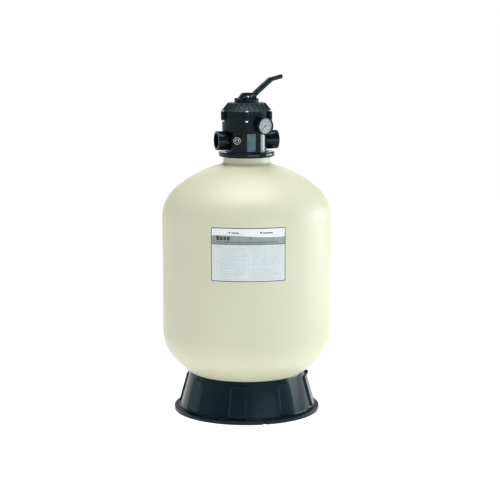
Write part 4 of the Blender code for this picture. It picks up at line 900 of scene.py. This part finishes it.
def washers_and_spring():
    piece("thrust_washer", ring(0.034, 0.0198, SPRING_TOP_Z + GAP, SPRING_TOP_Z + 0.0028, 72), STEEL)
    piece("slip_washer", ring(0.0255, 0.0125, COLLAR_FLOOR_Z + GAP, WASHER_TOP_Z, 72), WHITE)
    low, top, count = SPRING_LOW_Z + SPRING_WIRE, SPRING_TOP_Z - SPRING_WIRE, 48 * SPRING_TURNS
    helix = []
    for i in range(count + 1):
        share = i / count
        angle = math.tau * SPRING_TURNS * share
        x, y = SPRING_COIL * math.cos(angle), SPRING_COIL * math.sin(angle)
        helix.append(VALVE @ Vector((x, y, low + (top - low) * share)))
    spring = piece("diverter_spring", round_wire(helix, SPRING_WIRE), STEEL)
    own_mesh(spring)


# ---------------------------------------------------------------- handle
def lever_path():
    """Points along the lever's middle, in the pin plane, with its bend rounded."""
    corners = softened([(0.018, -0.0009, 0), (0.0865, 0.0567, 0.0025), (0.1245, 0.0665, 0)], closed=False)
    path = []
    for first, second in zip(corners, corners[1:]):
        first, second = Vector(first), Vector(second)
        count = max(1, round((second - first).length / 0.0006))
        path += [first.lerp(second, i / count) for i in range(count)]
    return path + [Vector(corners[-1])]


def lever():
    """The lever, with a gripping panel of cross ridges sunk between two rims on its lower length."""
    path = lever_path()
    travelled = 0.0
    bm = bmesh.new()
    rows = []
    total = sum((b - a).length for a, b in zip(path, path[1:]))
    half_wide, half = LEVER_HALF_WIDTH, LEVER_THICK / 2
    rim = 0.0024
    for i, point in enumerate(path):
        ahead = (path[min(i + 1, len(path) - 1)] - path[max(i - 1, 0)]).normalized()
        up = Vector((-ahead.y, ahead.x))
        if i:
            travelled += (point - path[i - 1]).length
        sunk = smooth_step(travelled, 0.014, 0.017) * smooth_step(-travelled, -0.084, -0.081)
        ridge = 0.5 - 0.5 * math.cos(math.tau * travelled / 0.0052)
        depth = sunk * (0.0024 - 0.0013 * ridge ** 2)
        left = total - travelled
        shrink = math.sqrt(max(0.0, 1 - (1 - min(1.0, left / 0.004)) ** 2)) if left < 0.004 else 1.0
        wide, thick = half_wide - 0.003 * (1 - shrink), half * (0.45 + 0.55 * shrink)
        r = min(0.0018, thick * 0.5)
        outline = [(wide - r, -thick), (wide - r * 0.3, -thick + r * 0.3), (wide, -thick + r),
            (wide, thick - r), (wide - r * 0.3, thick - r * 0.3), (wide - r, thick), (wide - rim, thick),
            (wide - rim - 0.0005, thick - depth), (wide * 0.35, thick - depth)]
        outline += [(-x, y) for x, y in outline[::-1]]
        rows.append([bm.verts.new((point.x + up.x * y, point.y + up.y * y, x)) for x, y in outline])
    skin(bm, rows, capped=True)
    bm.transform(PIN_PLANE)
    return bm


def lever_handle():
    base = PIN_Z - WASHER_TOP_Z - 0.0004
    lift = DIVERTER_LIFT / PRESS_ANGLE
    heel = []
    for i in range(9):
        turn = PRESS_ANGLE * i / 8
        height = base + lift * turn
        heel.append((height * math.sin(turn) + lift * math.cos(turn),
            -height * math.cos(turn) + lift * math.sin(turn), 0))
    outline = [(-0.024, -base, 0.002), *heel, (0.0315, 0.0025, 0.003), (0.036, 0.0105, 0.002),
        (0.012, 0.013, 0.003), (-0.013, 0.013, 0.004), (-0.027, -0.006, 0.003)]
    hub = prism(softened(outline), -HUB_HALF_WIDTH, HUB_HALF_WIDTH, PIN_PLANE, 0.0011)
    half_slot = TONGUE_HALF_THICK + 0.0004
    cuts = [block((-0.0088, -0.03, -half_slot), (0.0185, 0.0002, half_slot), PIN_PLANE),
        disc(0.0089, -half_slot + 0.00001, half_slot - 0.00001, 48, PIN_PLANE, 0),
        disc(PIN_RADIUS + PIN_PLAY, -0.03, 0.03, 40, PIN_PLANE, 0)]
    fine = carved(hub, [lever()], cuts)
    fine.normal_update()
    inward = PIN_PLANE.inverted()
    # The grip panel's upward faces take the second, lighter paint: painted light from above.
    for face in fine.faces:
        middle, normal = inward @ face.calc_center_median(), inward.to_3x3() @ face.normal
        on_lit_grip_top = 0.034 < middle.x < 0.083 and abs(middle.z) < LEVER_HALF_WIDTH - 0.0028 and normal.y > 0.3
        face.material_index = 1 if on_lit_grip_top else 0
    piece("handle", fine, [GLOSS_BLACK, GRIP_PAINTED_LIGHT])
    pin_half = HUB_HALF_WIDTH - 0.0003
    piece("handle_pin", disc(PIN_RADIUS, -pin_half, pin_half, 40, PIN_PLANE, 0.0006), STEEL)


# ---------------------------------------------------------------- gauge
def flat_text(body, size, at):
    """Generic numbers, as a thin mesh."""
    curve = bpy.data.curves.new("number", "FONT")
    curve.body, curve.size, curve.extrude = body, size, 0.00005
    curve.align_x, curve.align_y = "CENTER", "CENTER"
    thing = added("number", curve)
    bpy.context.view_layer.update()
    shape = thing.evaluated_get(bpy.context.evaluated_depsgraph_get())
    bm = bmesh.new()
    bm.from_mesh(shape.to_mesh())
    bpy.data.objects.remove(thing)
    bm.transform(at)
    return bm


def dial_angle(value):
    """Where a value stands on the dial, in radians clockwise from its top."""
    return math.radians(DIAL_ZERO + DIAL_SWEEP * value / DIAL_TOP_NUMBER)


def gauge():
    bore = DIAL_RADIUS + 0.0004
    case = softened([(0, GAUGE_BACK, 0), (0, GAUGE_BACK + 0.002, 0), (bore, GAUGE_BACK + 0.002),
        (bore, GAUGE_FACE - 0.0006), (bore + 0.001, GAUGE_FACE, 0.0005), (GAUGE_RADIUS, GAUGE_FACE, 0.0012),
        (GAUGE_RADIUS, GAUGE_FACE - 0.0055, 0.0004), (GAUGE_RADIUS - 0.0008, GAUGE_FACE - 0.0062, 0.0004),
        (GAUGE_RADIUS - 0.0008, GAUGE_BACK, 0.003)], 0.0004)
    piece("gauge_case", lathe(case, 112, GAUGE), GLOSS_BLACK)
    stem = turned([(0, GAUGE_BACK - GAP), (GAUGE_THREAD, GAUGE_BACK - GAP),
        (GAUGE_THREAD, GAUGE_THREAD_END, 0.0008), (0, GAUGE_THREAD_END)], 0.0003, 48, GAUGE)
    flats = prism(hexagon(0.0085), *HEXAGON_SPAN, GAUGE, 0.0005)
    piece("gauge_stem", carved(stem, [flats]), BRASS)
    piece("gauge_dial", ring(DIAL_RADIUS, 0.0016, DIAL_FACE - 0.0007, DIAL_FACE, 96, GAUGE, 0.0002), DIAL)

    marks = []
    for value in range(0, DIAL_TOP_NUMBER + 1, 2):
        major = value % 10 == 0
        turn = GAUGE @ Matrix.Rotation(-dial_angle(value), 4, "Z")
        wide = 0.00045 if major else 0.00022
        marks.append(block((-wide, 0.02 if major else 0.0216, DIAL_FACE - 0.00005),
            (wide, 0.024, DIAL_FACE + 0.00008), turn))
    for value in range(0, DIAL_TOP_NUMBER + 1, 10):
        angle = dial_angle(value)
        spot = Matrix.Translation((0.0158 * math.sin(angle), 0.0158 * math.cos(angle), DIAL_FACE + 0.00004))
        marks.append(flat_text(str(value), 0.0054, GAUGE @ spot))
    piece("gauge_dial", together(*marks), INK, name="dial_marks", replaces=False)

    lens = [(0, 0.1189), (0.01, 0.1188, 0), (0.018, 0.11855, 0), (DIAL_RADIUS, 0.118), (DIAL_RADIUS, LENS_BACK),
        (0, LENS_BACK)]
    piece("gauge_lens", turned(lens, 0.0003, 96, GAUGE), LENS)
    start, end = math.radians(-120), math.radians(140)
    coil = [GAUGE @ Vector((*point, BOURDON_LEVEL)) for point in arc((0, 0), BOURDON_RING, start, end, 70)]
    piece("gauge_bourdon_tube", round_wire(coil, BOURDON_WIRE), BRASS)

    pointing = GAUGE @ Matrix.Rotation(-dial_angle(0), 4, "Z") @ Matrix.Translation((0, 0, NEEDLE_LEVEL))
    needle = prism([(-0.0004, 0.0205), (-0.0011, 0.002), (-0.0009, -0.001), (-0.002, -0.0065), (0.002, -0.0065),
        (0.0009, -0.001), (0.0011, 0.002), (0.0004, 0.0205)], -0.0003, 0.0003, pointing)
    arbor = disc(0.0013, -0.0042, 0.001, 32, pointing, 0.0002)
    cap = disc(0.0023, -0.0005, 0.0009, 40, pointing, 0.0004)
    piece("gauge_needle", carved(needle, [arbor, cap]), NEEDLE)


# ---------------------------------------------------------------- sight glass
def sight_glass():
    skirt = SIGHT_BOSS_RADIUS + 0.0004
    top = SIGHT_END - 0.0012
    face = [(0, top, 0), (0.004, top), (0.0046, SIGHT_END), (0.006, SIGHT_END), (0.0066, top), (0.0098, top),
        (0.0105, SIGHT_END), (0.0122, SIGHT_END), (0.0128, top)]
    face += [(SIGHT_RADIUS, top, 0.0008), (SIGHT_RADIUS, SIGHT_SKIRT), (skirt, SIGHT_SKIRT),
        (skirt, SIGHT_BACK), (0, SIGHT_BACK)]

    def knurled(angle, radius, height):
        lift = 0.0007 if radius > 0.0138 and math.cos(angle * 20) > 0.2 else 0.0
        return radius - lift, height
    # Its dark tint is painted shade.
    piece("sight_glass", turned(face, 0.0003, 160, SIGHT, knurled), SIGHT_CLEAR_PAINTED_SHADE)
    # The raised rings are painted light grey: painted highlights.
    rings = [ring(outer, inner, top - 0.0001, SIGHT_END + 0.0002, 72, SIGHT, 0.0002)
        for outer, inner in ((0.0062, 0.0044), (0.0124, 0.0103))]
    piece("sight_glass", together(*rings), SIGHT_RINGS_PAINTED_HIGHLIGHT, name="sight_rings_painted_highlight", replaces=False)
    piece("sight_glass_seal", ring(0.0118, 0.0085, SIGHT_BOSS_END + GAP, SIGHT_BACK - GAP, 56, SIGHT), RUBBER)


# ---------------------------------------------------------------- drain
def drain():
    spigot = softened([(DRAIN_RADIUS, DRAIN_FACE, 0.0006), (DRAIN_RADIUS, SPIGOT_END), (DRAIN_BORE, SPIGOT_END),
        (DRAIN_BORE, DRAIN_FACE)], 0.0004)
    piece("drain_spigot", lathe(spigot, 64, DRAIN), GLOSS_BLACK)
    piece("drain_gasket", ring(0.0094, DRAIN_BORE, DRAIN_FACE + GAP, DRAIN_FACE + 0.002, 56, DRAIN), RUBBER)

    def gripped(angle, radius, height):
        held = radius > 0.0118 and -0.004 < height < 0.0085
        return radius - (0.0006 * (0.5 + 0.5 * math.cos(angle * 24)) if held else 0.0), height
    skirt, inside = DRAIN_RADIUS + 0.0003, DRAIN_FACE + 0.0023
    cap = [(0, DRAIN_CAP_TOP), (DRAIN_CAP_RADIUS, DRAIN_CAP_TOP, 0.0014), (DRAIN_CAP_RADIUS, 0.008, 0),
        (DRAIN_CAP_RADIUS, -0.0038, 0), (DRAIN_CAP_RADIUS, -DRAIN_FACE, 0.0004), (skirt, -DRAIN_FACE),
        (skirt, inside), (0, inside)]
    piece("drain_cap", turned(cap, 0.0003, 192, DRAIN, gripped), GLOSS_BLACK)
    profile, sunk = [], DRAIN_RADIUS - 0.001
    for i in range(8):
        z = SPIGOT_END - 0.0005 - 0.0026 * i
        profile += [(DRAIN_RADIUS, z), (DRAIN_RADIUS, z - 0.0014), (sunk, z - 0.0015), (sunk, z - 0.0025)]
    profile += [(DRAIN_RADIUS, SCREEN_END + 0.0025), (DRAIN_RADIUS - 0.0012, SCREEN_END), (0, SCREEN_END),
        (0, SCREEN_END + 0.002), (DRAIN_BORE, SCREEN_END + 0.002), (DRAIN_BORE, SPIGOT_END - 0.0005)]
    piece("drain_screen", lathe(profile, 48, DRAIN), GREY)


# ---------------------------------------------------------------- inside the tank
def underdrain():
    socket_z = HUB_TOP_Z - 0.03
    piece("standpipe", ring(PIPE_RADIUS, PIPE_BORE, socket_z + GAP, PIPE_STOP_Z - 0.001, 96, reach=0.0008),
        GREY)
    bore, hub_floor = PIPE_RADIUS + 0.0004, HUB_LOW_Z + 0.005
    profile = softened([(0.032, HUB_TOP_Z, 0.001), (0.032, socket_z, 0.002),
        (HUB_RADIUS, socket_z - 0.004, 0.002), (HUB_RADIUS, HUB_LOW_Z, 0.0015), (0, HUB_LOW_Z, 0),
        (0, hub_floor, 0), (0.018, hub_floor), (0.018, socket_z), (bore, socket_z), (bore, HUB_TOP_Z)], 0.0004)
    sockets = [disc(0.0064, 0.01, 0.06, 32, at, 0) for at in LATERAL_PLACES]
    piece("lateral_hub", carved(lathe(profile, 96), cuts=sockets), GREY)
    bore, sunk = LATERAL_RADIUS - LATERAL_WALL, LATERAL_RADIUS - 0.0009
    tube = [(0, LATERAL_END), (LATERAL_RADIUS - 0.003, LATERAL_END),
        (LATERAL_RADIUS - 0.0006, LATERAL_END - 0.0016), (LATERAL_RADIUS, LATERAL_END - 0.004)]
    for k in range(SLOTS):
        x = LATERAL_END - 0.0055 - SLOT_PITCH * k
        tube += [(LATERAL_RADIUS, x + 0.0003), (sunk, x + 0.0002), (sunk, x - 0.0002),
            (LATERAL_RADIUS, x - 0.0003)]
    tube += [(LATERAL_RADIUS, LATERAL_START), (STUB_RADIUS, LATERAL_START), (STUB_RADIUS, STUB_END),
        (STUB_BORE, STUB_END), (STUB_BORE, LATERAL_START), (bore, LATERAL_START + 0.001),
        (bore, LATERAL_END - 0.005), (0, LATERAL_END - 0.003)]
    for i, at in enumerate(LATERAL_PLACES):
        piece(f"lateral_{i + 1}", lathe(tube, 32, at, closed=False), GREY)


def diffuser():
    sleeve = RISER_RADIUS + 0.0003
    profile = softened([(0.063, 0.829), (0.063, 0.8235, 0.003), (0.055, 0.819, 0.003), (sleeve, 0.819),
        (sleeve, 0.842), (sleeve + 0.0028, 0.842), (sleeve + 0.0028, 0.8225, 0.002), (0.054, 0.8225, 0.003),
        (0.0608, 0.8255, 0.002), (0.0608, 0.829)], 0.0004)
    piece("diffuser", lathe(profile, 96), GREY)


def sand_bed():
    """The sand, with a shallow uneven top."""
    inset = TANK_WALL + 0.0004
    low = LOW_HEAD.knuckle_arc(inset, 14) + LOW_HEAD.crown_arc(0.0, inset, 12)[1:]
    side = TANK_RADIUS - inset
    top = [(side * i / 20, SAND_TOP_Z) for i in range(21)]

    def uneven(angle, radius, height):
        if height < SAND_TOP_Z - 1e-6 or radius > side - 1e-6 or radius < 0.034:
            return radius, height
        wave = math.sin(radius * 90 + 2 * math.sin(angle * 3)) * math.cos(angle * 5 + radius * 40)
        return radius, height - 0.0016 * (1 + wave) / 2
    sand = lathe(top + low, 144, closed=False, shift=uneven)
    cuts = [disc(0.0326, HUB_TOP_Z - 0.045, SAND_TOP_Z + 0.05, 64, reach=0),
        disc(HUB_RADIUS + 0.0005, HUB_LOW_Z - 0.0007, HUB_TOP_Z - 0.029, 64, reach=0)]
    cuts += [disc(LATERAL_RADIUS + 0.0006, 0.03, LATERAL_END + 0.0007, 32, at, 0) for at in LATERAL_PLACES]
    cuts.append(disc(DRAIN_RADIUS + 0.0005, -0.059, 0.0, 40, DRAIN, 0))
    piece("sand_bed", carved(sand, cuts=cuts), SAND)


# ---------------------------------------------------------------- studio
CAMERA_PLACE, CAMERA_DIP, CAMERA_LENS = (0.0114, -5.19, 1.34), 8.7, 111.3


def floor():
    bm = lathe([(0, 0), (2, 0), (6, 0), (20, 0), (80, 0), (300, 0)], 96, closed=False)
    data = mesh_from(bm, "floor")
    paper = surface("floor_paper", (0.45, 0.45, 0.45), (0.44, 0.44, 0.442), 0.5, (0.8, 0.9), 2, 60, 0.00002,
        level=0.1, Emission_Strength=0.91)
    data.materials.append(paper)
    thing = added("floor", data)
    thing.location.z = -0.0002


def softbox(name, azimuth, height, distance, wide, tall, radiance, colour, target_z=0.6):
    """An area light, of a given radiance, that faces the object's axis."""
    light = bpy.data.lights.new(name, "AREA")
    light.shape, light.size, light.size_y = "RECTANGLE", wide, tall
    light.color = colour
    light.energy = radiance * math.pi * wide * tall
    thing = added(name, light)
    place = polar(distance, azimuth, height)
    thing.location = place
    thing.rotation_euler = (Vector((0, 0, target_z)) - place).to_track_quat("-Z", "Y").to_euler()
    thing.visible_camera = False


def lights():
    softbox("key_low", 28, 0.63, 3.6, 3.3, 0.18, 12.5, (0.72, 0.90, 1.0), 0.9)
    softbox("green_strip", 106, 0.67, 3.2, 1.9, 0.16, 13.0, (0.84, 1.0, 0.94), 0.9)
    softbox("key_side", 104, 0.95, 3.2, 2.2, 1.3, 4.0, (0.92, 1.0, 0.95))
    softbox("top", 0, 3.9, 0.35, 2.8, 2.6, 5.2, (1.0, 1.0, 0.99), 0.8)
    softbox("left_strip", -98, 1.1, 3.4, 0.2, 1.8, 2.0, (0.84, 0.95, 1.0))
    softbox("back", 180, 2.2, 3.5, 2.2, 1.6, 1.6, (1.0, 1.0, 1.0))
    world = bpy.data.worlds.new("studio")
    world.use_nodes = True
    tree = world.node_tree
    sky = tree.nodes["Background"]
    direction = tree.nodes.new("ShaderNodeTexCoord").outputs["Generated"]
    height = wire_up(tree, "ShaderNodeSeparateXYZ", Vector=direction).outputs["Z"]
    tree.links.new(ranged(tree, height, 1.02, 0.20, 0.04, 0.20), sky.inputs["Strength"])
    sky.inputs["Color"].default_value = (1.0, 1.0, 1.0, 1)
    bpy.context.scene.world = world


def camera():
    lens = bpy.data.cameras.new("camera")
    lens.sensor_width, lens.lens = 36.0, CAMERA_LENS
    lens.clip_end = 1000
    thing = added("camera", lens)
    thing.location = CAMERA_PLACE
    thing.rotation_euler = (math.radians(90 - CAMERA_DIP), 0, 0)
    bpy.context.scene.camera = thing


bpy.context.scene.view_settings.view_transform = "Standard"
tank_shell()
tank_label()
base_skirt()
clamp()
valve_body()
spider_gasket()
valve_lid()
lid_fasteners()
diverter()
washers_and_spring()
o_ring("flange_o_ring", 0.0745, JOINT_Z - 0.0021, 0.002, 144)
o_ring("lid_o_ring", 0.08, LID_JOINT_Z - GAP - 0.0016, 0.0014, 144)
lever_handle()
gauge()
sight_glass()
drain()
underdrain()
diffuser()
sand_bed()
floor()
lights()
camera()
